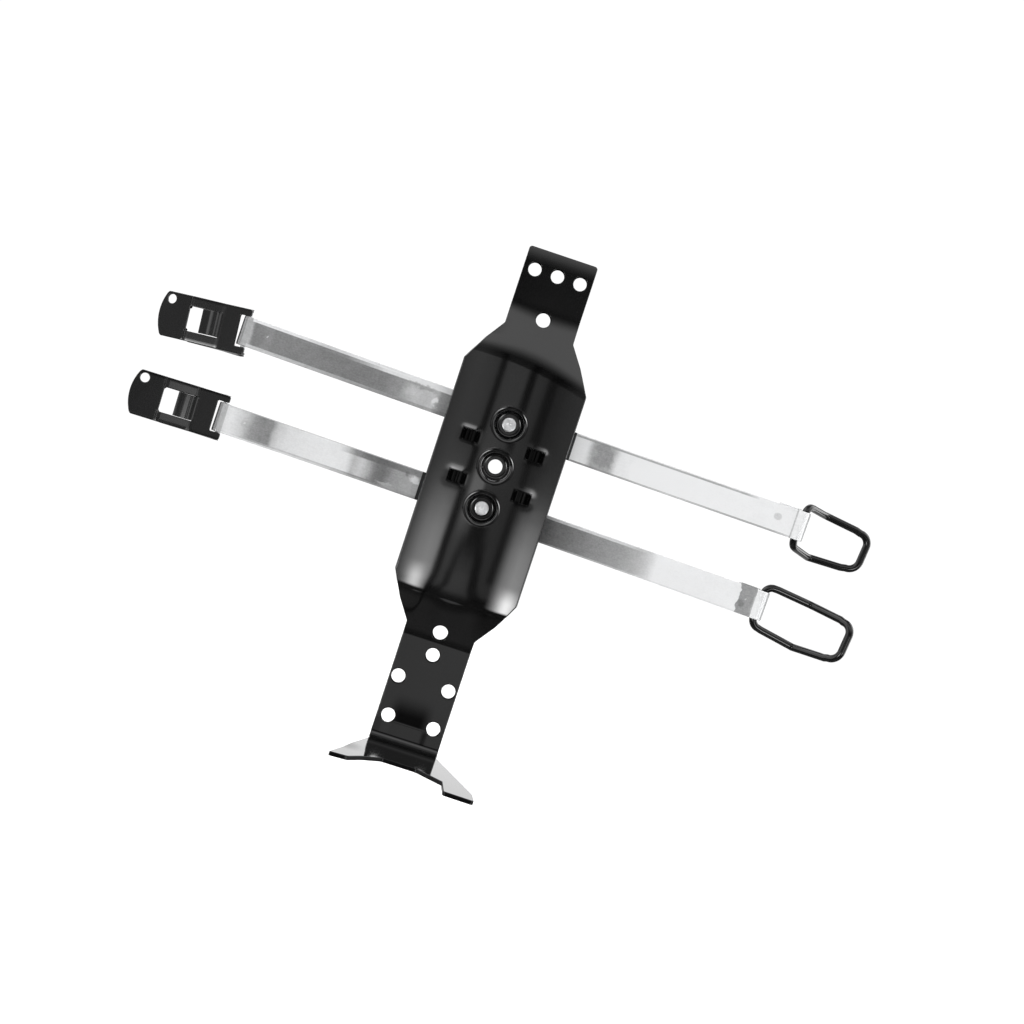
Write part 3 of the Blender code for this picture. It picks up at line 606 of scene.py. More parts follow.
def upper_welds_and_painted_reflections(g, x, v, vec):
    rag = g.math("MULTIPLY", g.math("SUBTRACT", g.noise(vec, 420.0, 4.0), 0.5), 0.0042)
    xr, vr = g.math("ADD", x, rag), g.math("SUBTRACT", v, rag)
    out = []
    # painted reflections: a ragged light mark and the grey patch beside it, next to the plate
    out.append((g.math("MULTIPLY", g.blob(xr, vr, -32.0, -1.3, 1.7, 2.4, 0.5, 1.0), 0.9), 0.95))
    out.append((g.math("MULTIPLY", g.blob(xr, vr, -41.0, -0.9, 6.5, 2.4, 0.3, 1.0), 0.6), 0.72))
    out.append((g.math("MULTIPLY", g.blob(xr, vr, -38.0, 2.6, 9.0, 1.4, 0.4, 1.0), 0.5), 0.26))
    # painted reflection: a darker patch at the right, light at its inner side
    out.append((g.math("MULTIPLY", g.blob(xr, vr, 40.8, 0.3, 5.2, 5.6, 0.7, 1.0), 0.6), 0.30))
    out.append((g.math("MULTIPLY", g.blob(xr, vr, 37.2, 0.6, 1.6, 2.6, 0.3, 1.0), 0.5), 0.6))
    # spot weld near each end
    for cx, cz in ((-103.4, 0.3), (115.6, 0.6)):
        out.append((g.math("MULTIPLY", g.blob(x, v, cx, cz, 1.9, 1.7, 0.7, 1.0), 0.35), 0.34))
        out.append((g.math("MULTIPLY", g.blob(xr, vr, cx - 0.3, cz + 0.2, 0.9, 0.5, 0.4, 1.0), 0.8), 0.7))
    return out


def lower_welds_and_painted_reflections(g, x, v, vec):
    rag = g.math("MULTIPLY", g.math("SUBTRACT", g.noise(vec, 420.0, 4.0), 0.5), 0.0034)
    xr, vr = g.math("ADD", x, rag), g.math("SUBTRACT", v, rag)
    out = []
    # painted reflections: lighter and darker patches along the band
    out.append((g.math("MULTIPLY", g.stripe(xr, 111.3, 117.4, 0.35), 0.95), 0.34))
    out.append((g.math("MULTIPLY", g.blob(xr, vr, 112.6, -1.6, 1.5, 2.0, 0.4, 1.0), 0.6), 0.2))
    out.append((g.math("MULTIPLY", g.blob(xr, vr, -29.8, 1.3, 2.8, 1.8, 0.4, 1.0), 0.9), 0.95))
    out.append((g.math("MULTIPLY", g.blob(xr, vr, -33.4, 3.2, 1.5, 1.6, 0.4, 1.0), 0.6), 0.2))
    out.append((g.math("MULTIPLY", g.blob(xr, vr, -41.0, -4.2, 5.0, 1.1, 0.4, 1.0), 0.6), 0.6))
    for cx, cz in ((-102.0, 0.6), (114.4, 0.1)):
        out.append((g.math("MULTIPLY", g.blob(x, v, cx, cz, 1.9, 1.7, 0.7, 1.0), 0.35), 0.42))
        out.append((g.math("MULTIPLY", g.blob(xr, vr, cx - 0.2, cz + 0.2, 0.8, 0.55, 0.4, 1.0), 0.8), 0.75))
    return out


BAND_WELDS_AND_PAINTED_REFLECTIONS = {"upper": upper_welds_and_painted_reflections, "lower": lower_welds_and_painted_reflections}


# ------------------------------------------------------------------ back plate
def smooth(t):
    t = np.clip(t, 0.0, 1.0)
    return t * t * t * (t * (6 * t - 15) + 10)


def soft_ramp(t, span, r0, r1):
    """0 for t < 0, 1 for t > span, straight between, blended over r0 at the foot and r1 at the top."""
    slope = 1.0 / span
    y = np.clip(slope * t, 0.0, 1.0)
    a = (t > -r0) & (t < r0)
    y = np.where(a, slope * (t + r0) ** 2 / (4 * r0), y)
    b = (t > span - r1) & (t < span + r1)
    return np.where(b, 1.0 - slope * (span + r1 - t) ** 2 / (4 * r1), y)


# dimple wall, as slope against radius: a gentle roll, a steep wall, a flat floor
_D = np.linspace(0.0, 9.0, 361)
_S = np.interp(_D, (4.0, 4.7, 4.95, 5.15, 5.9, 6.25, 6.5, 7.1, 7.5, 7.95), (0.0, 0.28, 0.9, 1.6, 1.7, 1.1, 0.5, 0.2, 0.05, 0.0))
_H = np.cumsum(_S) * (_D[1] - _D[0])
_H = (_H[-1] - _H) / _H[-1]


def rise(x, z):
    top1 = RAMP_TOP[1] + 0.6 - 1.6 * (x / 20.0) ** 2 - 0.11 * x
    up = soft_ramp(RAMP_TOP[0] - z, RAMP_TOP[0] - top1, 4.5, 4.7)
    low1 = RAMP_LOW[1] - 0.3 - 2.4 * np.exp(-(x / 7.0) ** 2) + 0.12 * np.sin(x * 0.55 + 1.0)
    lo = soft_ramp(z - RAMP_LOW[0], low1 - RAMP_LOW[0], 2.0, 2.9)
    r = np.minimum(up, lo) * (TROUGH_LIFT + x * x / (2 * TROUGH_R))
    # the trough falls away a little before the lower shoulder
    fall = np.clip((-44.5 - z) / 10.0, 0.0, 1.3)
    r = r - lo * 0.42 * fall * fall * (0.75 + 0.25 * smooth((np.abs(x) - 6.0) / 9.0))
    # the upper edge leans back, and a shallow dent lies between the lowest holes
    lean = np.maximum(z - 82.8, 0.0)
    r = r - 0.0125 * lean * lean
    dent = np.clip((-96.5 - z) / 16.8, 0.0, 1.0) ** 1.4 * smooth((10.6 - np.abs(x + 1.2)) / 4.6)
    r = r - 0.08 * dent
    # just above the foot the sheet already leans forward
    tilt = np.maximum(-113.6 - z, 0.0)
    r = r + 0.13 * (tilt - 0.35 * (1 - np.exp(-tilt / 0.35)))
    for k in (1, 0, -1):
        d = np.hypot(x, z - MID_Z - k * DIMPLE_PITCH)
        dish = np.interp(d, _D, _H)
        # level the trough's curve inside a dimple
        r = r - DIMPLE_DEPTH * dish - dish * x * x / (2 * TROUGH_R)
    for sx in (-1, 1):
        for sz in (-1, 1):
            dx = np.maximum(np.abs(x - sx * (LUG_X + 0.8)) - LUG_W / 2 + 1.8, 0.0)
            dz = np.maximum(np.abs(z - LUG_MID - sz * LUG_Z) - LUG_H / 2 + 1.2, 0.0)
            d = np.hypot(dx, dz)
            r = r - 0.2 * np.exp(-(d / 1.9) ** 2)
    return r


FOOT_Z, BEND_R, BEND_A0 = -121.9, 3.1, math.radians(7.4)
S_BEND = TOP_Z - (FOOT_Z + BEND_R * (1 - math.sin(BEND_A0)))
S_FOOT = S_BEND + BEND_R * (math.pi / 2 - BEND_A0)


def plate_point(x, s):
    """Flat pattern of the plate (x, distance from the upper edge) -> its front face."""
    z = TOP_Z - np.minimum(s, S_BEND)
    y = -(rise(x, z) + SHEET)
    a = np.clip(BEND_A0 + (s - S_BEND) / BEND_R, BEND_A0, math.pi / 2)
    y = y - BEND_R * (math.cos(BEND_A0) - np.cos(a))
    z = z - BEND_R * (np.sin(a) - math.sin(BEND_A0))
    y = y - np.maximum(s - S_FOOT, 0.0)
    # the left claw droops a little
    z = z - 0.55 * smooth((-13.5 - x) / 9.0) * smooth((s - S_FOOT - 16.0) / 14.0)
    return np.stack([x, y, z - REF_Z], 1)


def s_of_h(h):
    lead = 0.13 * (-113.6 - 0.35 - TOP_Z + S_BEND) + BEND_R * math.cos(BEND_A0)
    return S_FOOT + max(h - lead, 0.02)


def build_plate():
    S = lambda z: TOP_Z - z
    left = [(-NECK_HALF, S(58.1), 1.2), (-20.4, S(49.5), 9.0), (-TROUGH_HALF, S(39.1), 1.6), (-TROUGH_HALF, S(-51.2), 1.2),
            (-20.6, S(-62.5), 9.0), (-NECK_HALF, S(-71.6), 1.6)]
    foot = [(-NECK_HALF, s_of_h(4.6), 0.5), (-27.6, s_of_h(42.4), 0.8), (-28.0, s_of_h(43.9), 0.7), (-20.5, s_of_h(42.8), 1.5),
            (-7.4, s_of_h(31.2), 2.5), (6.7, s_of_h(31.2), 2.5), (17.4, s_of_h(38.2), 0.9), (18.0, s_of_h(51.6), 0.9),
            (30.35, s_of_h(52.2), 1.0), (29.8, s_of_h(43.1), 1.2), (NECK_HALF, s_of_h(4.6), 0.5)]
    right = [(-x, s, r) for x, s, r in reversed(left)]
    pts = [(-NECK_HALF, 0.0, 1.3)] + left + foot + right + [(NECK_HALF, 0.0, 1.3)]
    outer = rounded([p[:2] for p in pts], [p[2] for p in pts], 0.35, 0.8)
    loops = [outer]
    for x, z, r in HOLES:
        loops.append(ring(x, S(z), r, 44))
    for k in (1, 0, -1):
        loops.append(ring(0.0, S(MID_Z + k * DIMPLE_PITCH), 2.5 if k else 2.95, 44))
    slots = []
    for sx in (-1, 1):
        for sz in (-1, 1):
            cx, cz, hw, hh = sx * LUG_X, S(LUG_MID + sz * LUG_Z), LUG_W / 2, LUG_H / 2
            slots.append(rounded([(cx - hw, cz - hh), (cx + hw, cz - hh), (cx + hw, cz + hh), (cx - hw, cz + hh)], 1.1, 0.3, 0.4))
    loops += slots
    # points of the flat pattern: an even grid, closer rows at the bends and rings in the dimples
    rows = list(np.arange(0.4, S_BEND - 0.2, 0.85)) + list(np.arange(S_BEND - 0.2, S_FOOT + 0.6, 0.3))
    rows += list(np.arange(S_FOOT + 1.2, s_of_h(53.0), 1.2)) + list(np.arange(S(-113.0), S(-115.4), 0.3) + 0.07)
    for z0 in (RAMP_TOP[0], RAMP_TOP[1] - 1.3, RAMP_LOW[0], RAMP_LOW[1] + 0.6):
        rows += list(np.arange(S(z0) - 3.4, S(z0) + 3.4, 0.42) + 0.11)
    fill = np.array([(x + 0.2 * (i % 2), s) for i, s in enumerate(sorted(rows)) for x in np.arange(-30.6, 30.9, 0.85)])
    keep = np.ones(len(fill), bool)
    rings = []
    for k in (1, 0, -1):
        cs = S(MID_Z + k * DIMPLE_PITCH)
        keep &= np.hypot(fill[:, 0], fill[:, 1] - cs) > 9.0
        for i, r in enumerate(np.arange(3.4, 8.9, 0.3)):
            n = max(40, int(2 * math.pi * r / 0.5))
            t = (np.arange(n) + 0.5 * (i % 2)) * 2 * math.pi / n
            rings.append(np.stack([r * np.cos(t), cs + r * np.sin(t)], 1))
    gap = []
    fill = np.concatenate([fill[keep]] + rings)
    # drop points closer than 0.25 mm to one kept before
    cell = {}
    for i, (a, b) in enumerate(fill):
        cell.setdefault((round(a / 0.3), round(b / 0.3)), i)
    fill = fill[sorted(cell.values())]
    taper = [0.0] + [0.2] * len(HOLES) + [0.0] * 3 + [0.0] * 4
    rims = [0.36] + [0.3] * len(HOLES) + [0.2] * 3 + [0.12] * 4
    v, f, n = sheet_solid("plate", loops, fill, plate_point, lambda x, t: SHEET + 0.3 * smooth((t - S_FOOT - 4.0) / 8.0), rims, 4, taper)
    # the foot's upper face shades as if very slightly dished: only its normals lean back a little
    up_face = (n[:, 2] > 0.98) & (v[:, 1] < -7.0)
    n[up_face] = unit(n[up_face] + np.array([0.0, 0.017, 0.0]))
    chunks = [(v, f, n)]
    # lanced lugs: a strip pressed back behind each slot, joined to the sheet at both ends
    for sx in (-1, 1):
        for sz in (-1, 1):
            cx, cz = sx * LUG_X, LUG_MID + sz * LUG_Z
            hw, hh = LUG_W / 2 + 0.9, LUG_H / 2 + 0.12
            xs = np.array([cx - hw, cx + hw])
            f0, f1 = rise(xs, np.array([cz, cz])) + SHEET
            low = min(f0, f1) - LUG_DEPTH

            def lug_point(x, w, cx=cx, cz=cz, hw=hw, f0=f0, f1=f1, low=low):
                t = (x - cx + hw) / (2 * hw)
                line = f0 + (f1 - f0) * t - 0.25
                press = smooth(np.minimum(t, 1 - t) / 0.34)
                ridge = 0.35 * np.exp(-((t - 0.5) / 0.07) ** 2)
                y = line + (low - line + 0.15) * press + ridge
                return np.stack([x, -y, cz - 0.04 + w - REF_Z], 1)

            lp = rounded([(cx - hw, -hh), (cx + hw, -hh), (cx + hw, hh), (cx - hw, hh)], 0.3, 0.2, 0.4)
            gx, gy = np.meshgrid(np.arange(cx - hw, cx + hw, 0.32), np.arange(-hh, hh, 0.42))
            chunks.append(sheet_solid("lug", [lp], np.stack([gx.ravel(), gy.ravel()], 1),
                                      lambda x, w, f=lug_point: f(x, -w), 1.2, 0.25, 2))
    ob = merge("plate_pressed_sheet", chunks)
    # painted shade in the holes and slots, as lowered specular
    painted_shade_openings = [(x, z - REF_Z, r + 0.42, 0.0, 1.0) for x, z, r in HOLES]
    painted_shade_openings += [(sx * LUG_X, LUG_MID + sz * LUG_Z - REF_Z, LUG_W / 2 + 0.1, LUG_H / 2 + 0.3, 0.78) for sx in (-1, 1) for sz in (-1, 1)]
    ob.data.materials.append(black_paint("gloss_black_paint", 0.08, 1.0, painted_shade_openings))
    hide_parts("back_plate")
    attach(ob, "frame")
    return ob


# ------------------------------------------------------------------ bands and rivets
def band_y(x):
    d = np.maximum(0.0, np.abs(x) - BAND_FLAT) / 93.0
    return -(BAND_FRONT + BAND_BOW * d * d)


def band_frame(which):
    z = MID_Z + DIMPLE_PITCH * (1 if which == "upper" else -1)
    return Matrix.Translation((0, 0, (z - REF_Z) * MM)) @ Matrix.Rotation(BAND_TILT, 4, "Y") \
        @ Matrix.Translation((0, 0, BAND_OFFSET * MM))


def end_axis(which, side):
    k = 0 if side < 0 else 1
    x = BAND_ENDS[which][k]
    return x, float(band_y(x)) + ROLL_R[k] + BAND_T


def build_band(which):
    xl, xr = BAND_ENDS[which]
    path, inward = [], []

    def roll(side):
        k = 0 if side < 0 else 1
        ro = ROLL_R[k] + BAND_T
        cx, cy = end_axis(which, side)
        a_end = math.degrees(math.asin((2 * BAND_T + 0.04 - ro) / ro))
        pts, ins = [], []
        for j in range(1, 45):
            a = math.radians(-90 + (270 - a_end) * j / 44)
            px = cx + side * ro * math.cos(a)
            pts.append((px, cy + ro * math.sin(a)))
            ins.append((-side * math.cos(a), -math.sin(a)))
        tail = []
        x0 = pts[-1][0]
        x1 = (xl if side < 0 else xr) - side * BAND_TAIL
        for j in range(1, 14):
            x = x0 + (x1 - x0) * j / 13
            tail.append((x, float(band_y(x)) + 2 * BAND_T + 0.04))
        return pts + tail, ins + [(0.0, -1.0)] * 13

    lp, li = roll(-1)
    rp, ri = roll(1)
    xs = np.linspace(xl, xr, 260)
    main = [(x, float(band_y(x)) + 0.02 * math.sin(x / 7.0) * min(1.0, max(0.0, (abs(x) - 30) / 20))) for x in xs]
    path = list(reversed(lp)) + main + rp
    inw = list(reversed(li)) + [None] * len(main) + ri
    path = np.array(path)
    tang = unit(np.gradient(path, axis=0))
    for i, w in enumerate(inw):
        if w is None:
            inw[i] = (-tang[i][1], tang[i][0])
    inw = unit(np.array(inw, float))
    # the folded tail of the right end sits a little higher than the strip in front of it
    lift = np.zeros(len(path))
    lift[-13:] = 0.55
    lift[-25:-13] = np.linspace(0.0, 0.5, 12)
    # cross-section: flat middle, edges curled back slightly, rounded rims
    h, t = BAND_W / 2, BAND_T
    top = [(-h + 1.3 * k / 5, 0.07 * (1 - k / 5) ** 1.6) for k in range(1, 6)] + [(-h + 1.3 + (2 * h - 2.6) * k / 8, 0.0) for k in range(1, 8)]
    top += [(h - 1.3 * k / 5, 0.07 * (1 - k / 5) ** 1.6) for k in range(5, 0, -1)]
    bottom = [(v, d + t) for v, d in reversed(top)]
    e = 0.07
    right_rim = [(h - 0.06, e + 0.05), (h, e + 0.14), (h, e + t - 0.16), (h - 0.06, e + t - 0.05)]
    left_rim = [(-v, d) for v, d in reversed(right_rim)]
    loop = np.array(top + right_rim + bottom + left_rim)
    d = np.roll(loop, -1, 0) - np.roll(loop, 1, 0)
    ln = unit(np.stack([-d[:, 1], d[:, 0]], 1))
    ln = -ln if np.dot(ln[7], (0, 1)) > 0 else ln
    loop[:, 0] = np.where(loop[:, 0] < 0, loop[:, 0] * 1.03, loop[:, 0])
    p3 = np.stack([path[:, 0], path[:, 1], lift], 1)
    i3 = np.stack([inw[:, 0], inw[:, 1], np.zeros(len(inw))], 1)
    v, f, n = sweep(p3, i3, loop, np.array([0.0, 0.0, 1.0]), ln)
    # spot welds: a shallow ring pressed into the front
    for cx, cz in {"upper": ((-103.4, 0.3), (115.6, 0.6)), "lower": ((-102.0, 0.6), (114.4, 0.1))}[which]:
        r = np.hypot(v[:, 0] - cx, v[:, 2] - cz)
        v[:, 1] += 0.05 * np.exp(-((r - 1.3) / 0.45) ** 2) - 0.03 * np.exp(-(r / 0.6) ** 2)
    ob = merge(which + "_band_strip", [moved((v, f, n), band_frame(which))])
    ob.data.materials.append(zinc(which + "_band_zinc", which, 0.62, 0.41))
    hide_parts(which + "_band")
    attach(ob, "frame")
    return ob


def build_rivet(which):
    floor = TROUGH_LIFT + SHEET - DIMPLE_DEPTH
    gap = 0.15
    back = BAND_FRONT - BAND_T
    prof = [(0.0, floor + gap + 0.78), (0.45, floor + gap + 0.79), (0.8, floor + gap + 0.90), (1.2, floor + gap + 0.95),
            (2.35, floor + gap + 0.93), (2.75, floor + gap + 0.8), (2.93, floor + gap + 0.55), (2.95, floor + gap + 0.1),
            (2.9, floor + gap), (2.2, floor + gap), (2.2, back - 0.1), (3.9, back - 0.1), (4.15, back - 0.25), (4.2, back - 0.55),
            (4.0, back - 0.95), (3.3, back - 1.25), (1.8, back - 1.42), (0.0, back - 1.48)]
    prof = prof[::-1]
    z = MID_Z + DIMPLE_PITCH * (1 if which == "upper" else -1)
    m = Matrix.Translation((0, 0, (z - REF_Z) * MM)) @ Matrix.Rotation(math.radians(90), 4, "X")
    chunk = turned(prof, 64)
    ob = merge(which + "_rivet_turned", [moved(chunk, m)])
    for e in ob.data.polygons:
        e.use_smooth = True
    ob.data.materials.append(zinc(which + "_rivet_zinc", None, 0.78, 0.42))
    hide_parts(which + "_band_rivet")
    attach(ob, "frame")
    return ob


# ------------------------------------------------------------------ latch levers
NOTCH_U, NOTCH_HALF = 2.85, 6.4
WINDOW = (10.5, 24.3, 5.05)
KICK = (10.4, 23.3, 2.2)
FACE = 2.5
LEVER_END = (34.95, 37.4)
LEVER_BACK = -1.8
FLANGE_DEPTH, FLANGE_TIP = -2.15, 22.8
TONGUE = (18.2, 4.6)
LEVER_HOLE = (32.9, 6.3, 1.9)


# pressed lines across the legs: distance from the hinge, depth
LEVER_LINES = {"upper": ((24.4, 0.3),), "lower": ((24.6, 0.3), (11.4, 0.22))}
FLARE = {"upper": 0.85, "lower": 0.5}


def lever_frame(which):
    x, y = end_axis(which, -1)
    skew, pitch = LEVER_LIE[which]
    turn = (Matrix.Rotation(math.radians(-skew), 4, "Y") @ Matrix.Rotation(math.radians(180.0), 4, "Z")
            @ Matrix.Rotation(math.radians(-pitch), 4, "Z"))
    return band_frame(which) @ Matrix.Translation((x * MM, y * MM, 0.0)) @ turn


def lever_top(u):
    u0, u1, k = KICK
    return FACE + k * soft_ramp(u - u0, u1 - u0, 1.0, 0.7)


def strip(path, half, thick, edge=0.2, flat_v=0.0):
    """A bent strip: path of its outer face (u, y), carried across v from -half to half."""
    p = np.array(path, float)
    tang = unit(np.gradient(p, axis=0))
    inw = np.stack([tang[:, 1], -tang[:, 0]], 1)
    e = edge
    c = []
    for cx, cy, a0 in ((half - e, e, -90), (half - e, thick - e, 0), (-half + e, thick - e, 90), (-half + e, e, 180)):
        for k in range(4):
            a = math.radians(a0 + 30 * k)
            c.append((cx + e * math.cos(a), cy + e * math.sin(a), math.cos(a), math.sin(a)))
    c = np.array(c)
    p3 = np.stack([p[:, 0], p[:, 1], np.full(len(p), flat_v)], 1)
    i3 = np.stack([inw[:, 0], inw[:, 1], np.zeros(len(p))], 1)
    return sweep(p3, i3, c[:, :2], np.array([0.0, 0.0, 1.0]), c[:, 2:])


def build_lever(which):
    h = LEVER_W / 2
    bulge = LEVER_END[1] - LEVER_END[0]
    r = (h * h + bulge * bulge) / (2 * bulge)
    end = []
    a = math.asin((h - 0.9) / r)
    for k in range(-10, 11):
        t = a * k / 10
        end.append((LEVER_END[1] - r + r * math.cos(t), r * math.sin(t)))
    pts = [(LEVER_BACK, -NOTCH_HALF, 0.5), (LEVER_BACK, -h, 0.9), (LEVER_END[0] - 0.2, -h, 0.9)] + [(p[0], p[1], 0.0) for p in end] \
        + [(LEVER_END[0] - 0.2, h, 0.9), (LEVER_BACK, h, 0.9), (LEVER_BACK, NOTCH_HALF, 0.5), (NOTCH_U, NOTCH_HALF, 0.6), (NOTCH_U, -NOTCH_HALF, 0.6)]
    outer = rounded([p[:2] for p in pts], [p[2] for p in pts], 0.22, 0.5)
    u0, u1, w = WINDOW
    window = rounded([(u0, -w), (u1, -w), (u1, w), (u0, w)], [0.6, 1.1, 1.1, 0.6], 0.25, 0.5)
    loops = [outer, window, ring(LEVER_HOLE[0], LEVER_HOLE[1], LEVER_HOLE[2], 40)]
    us = sorted([c + q for c, _ in LEVER_LINES[which] for q in (-0.42, -0.3, -0.2, -0.1, 0.0, 0.1, 0.2, 0.3, 0.42)] + list(np.arange(-1.6, 37.2, 0.62)) + list(np.arange(KICK[0] - 1.4, KICK[0] + 1.4, 0.25)) + list(np.arange(KICK[1] - 1.2, KICK[1] + 1.2, 0.25)))
    fill = np.array([(u, v) for u in us for v in np.arange(-h + 0.3, h, 0.6)])

    def top_point(u, v):
        y = lever_top(u) - 0.10 * np.clip((np.abs(v) - h + 1.4) / 1.4, 0, 1) ** 2
        for line, deep in LEVER_LINES[which]:
            y = y - deep * np.exp(-((u - line) / 0.2) ** 2) * np.clip((np.abs(v) - WINDOW[2] + 0.5) / 0.3, 0, 1)
        return np.stack([u, y, v], 1)

    body = sheet_solid("lever", loops, fill, lambda u, v: top_point(u, v), LEVER_T, 0.3, 3)
    chunks = [body]
    # side flanges under both edges of the hinge part
    lower = [(-1.15, 0.7), (-0.9, -0.7), (0.7, FLANGE_DEPTH), (2.0, FLANGE_DEPTH), (3.0, FLANGE_DEPTH + 0.15),
             (8.0, -0.2), (FLANGE_TIP - 0.6, float(lever_top(np.array([FLANGE_TIP]))[0]) - LEVER_T - 0.25)]
    upper = [(u, float(lever_top(np.array([u]))[0]) - 0.45) for u in (FLANGE_TIP, 20.0, 17.0, 14.0, 11.6, 10.4, 9.0, 6.0, 3.0, 0.0, -1.15)]
    side_loop = rounded(lower + upper, [0.4, 0.8, 0.8, 0.5, 1.5, 3.0, 0.3] + [0.2] + [0.0] * 9 + [0.3], 0.2, 0.6)
    gu, gy = np.meshgrid(np.arange(-1.5, 23.0, 0.8), np.arange(-2.0, 4.6, 0.6))
    hole = ring(0.0, 0.0, PIN_R + 0.12, 32)
    for s in (-1, 1):
        flare = FLARE[which] if s < 0 else 0.15

        def side_point(u, y, flare=flare):
            t = np.clip((lever_top(u) - y) / 4.6, 0.0, 1.1)
            return np.stack([u, y, -(h - 0.02 + flare * t)], 1)

        v, f, n = sheet_solid("flange", [side_loop, hole], np.stack([gu.ravel(), gy.ravel()], 1), side_point, LEVER_T, 0.2, 2)
        if s > 0:
            v, n = v * np.array([1, 1, -1]), n * np.array([1, 1, -1])
        chunks.append((v, f, n))
    # hook tongue
    tip = TONGUE[0]
    prof = [(u0 - 1.3, FACE - 0.35), (u0 - 0.5, FACE - 0.2), (u0 + 0.2, FACE + 0.15), (u0 + 0.7, FACE + 0.9), (u0 + 1.15, FACE + 1.75),
            (u0 + 1.7, FACE + 2.4), (u0 + 2.4, FACE + 2.72), (u0 + 3.2, FACE + 2.66), (u0 + 4.2, FACE + 2.5), (u0 + 5.5, FACE + 2.42), (tip - 0.8, FACE + 2.36), (tip, FACE + 2.3)]
    dense = []
    P = np.array(prof)
    tt = np.linspace(0, len(P) - 1, 60)
    for q in tt:
        i = min(int(q), len(P) - 2)
        f = q - i
        p0, p1, p2, p3 = P[max(i - 1, 0)], P[i], P[i + 1], P[min(i + 2, len(P) - 1)]
        dense.append(0.5 * ((2 * p1) + (-p0 + p2) * f + (2 * p0 - 5 * p1 + 4 * p2 - p3) * f * f + (-p0 + 3 * p1 - 3 * p2 + p3) * f ** 3))
    chunks.append(strip(dense, TONGUE[1] + 0.35, LEVER_T, 0.22, 0.1))
    m = lever_frame(which) @ Matrix.Translation((0, 0, -0.0004 if which == "upper" else 0.0))
    ob = merge(which + "_lever_stamping", [moved(c, m) for c in chunks])
    ob.data.materials.append(black_paint(which + "_lever_paint", rough=0.14, level=1.6))
    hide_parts(which + "_latch_lever")
    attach(ob, which + "_lever")
    # hinge pin with slightly domed ends
    q = LEVER_W / 2 + 0.1
    prof = [(0.0, -q), (PIN_R - 0.35, -q + 0.02), (PIN_R - 0.1, -q + 0.14), (PIN_R, -q + 0.35), (PIN_R, q - 0.35), (PIN_R - 0.1, q - 0.14), (PIN_R - 0.35, q - 0.02), (0.0, q)]
    pin = merge(which + "_pin_turned", [moved(turned(prof, 40), m)])
    pin.data.materials.append(zinc(which + "_pin_zinc", None, 0.5, 0.34))
    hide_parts(which + "_hinge_pin")
    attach(pin, which + "_lever")
    return ob


# ------------------------------------------------------------------ wire bails
def bail_frame(which):
    x, y = end_axis(which, 1)
    return band_frame(which) @ Matrix.Translation((x * MM, y * MM, 0.0)) @ Matrix.Rotation(math.radians(BAIL_LIE[which][1]), 4, "Y")


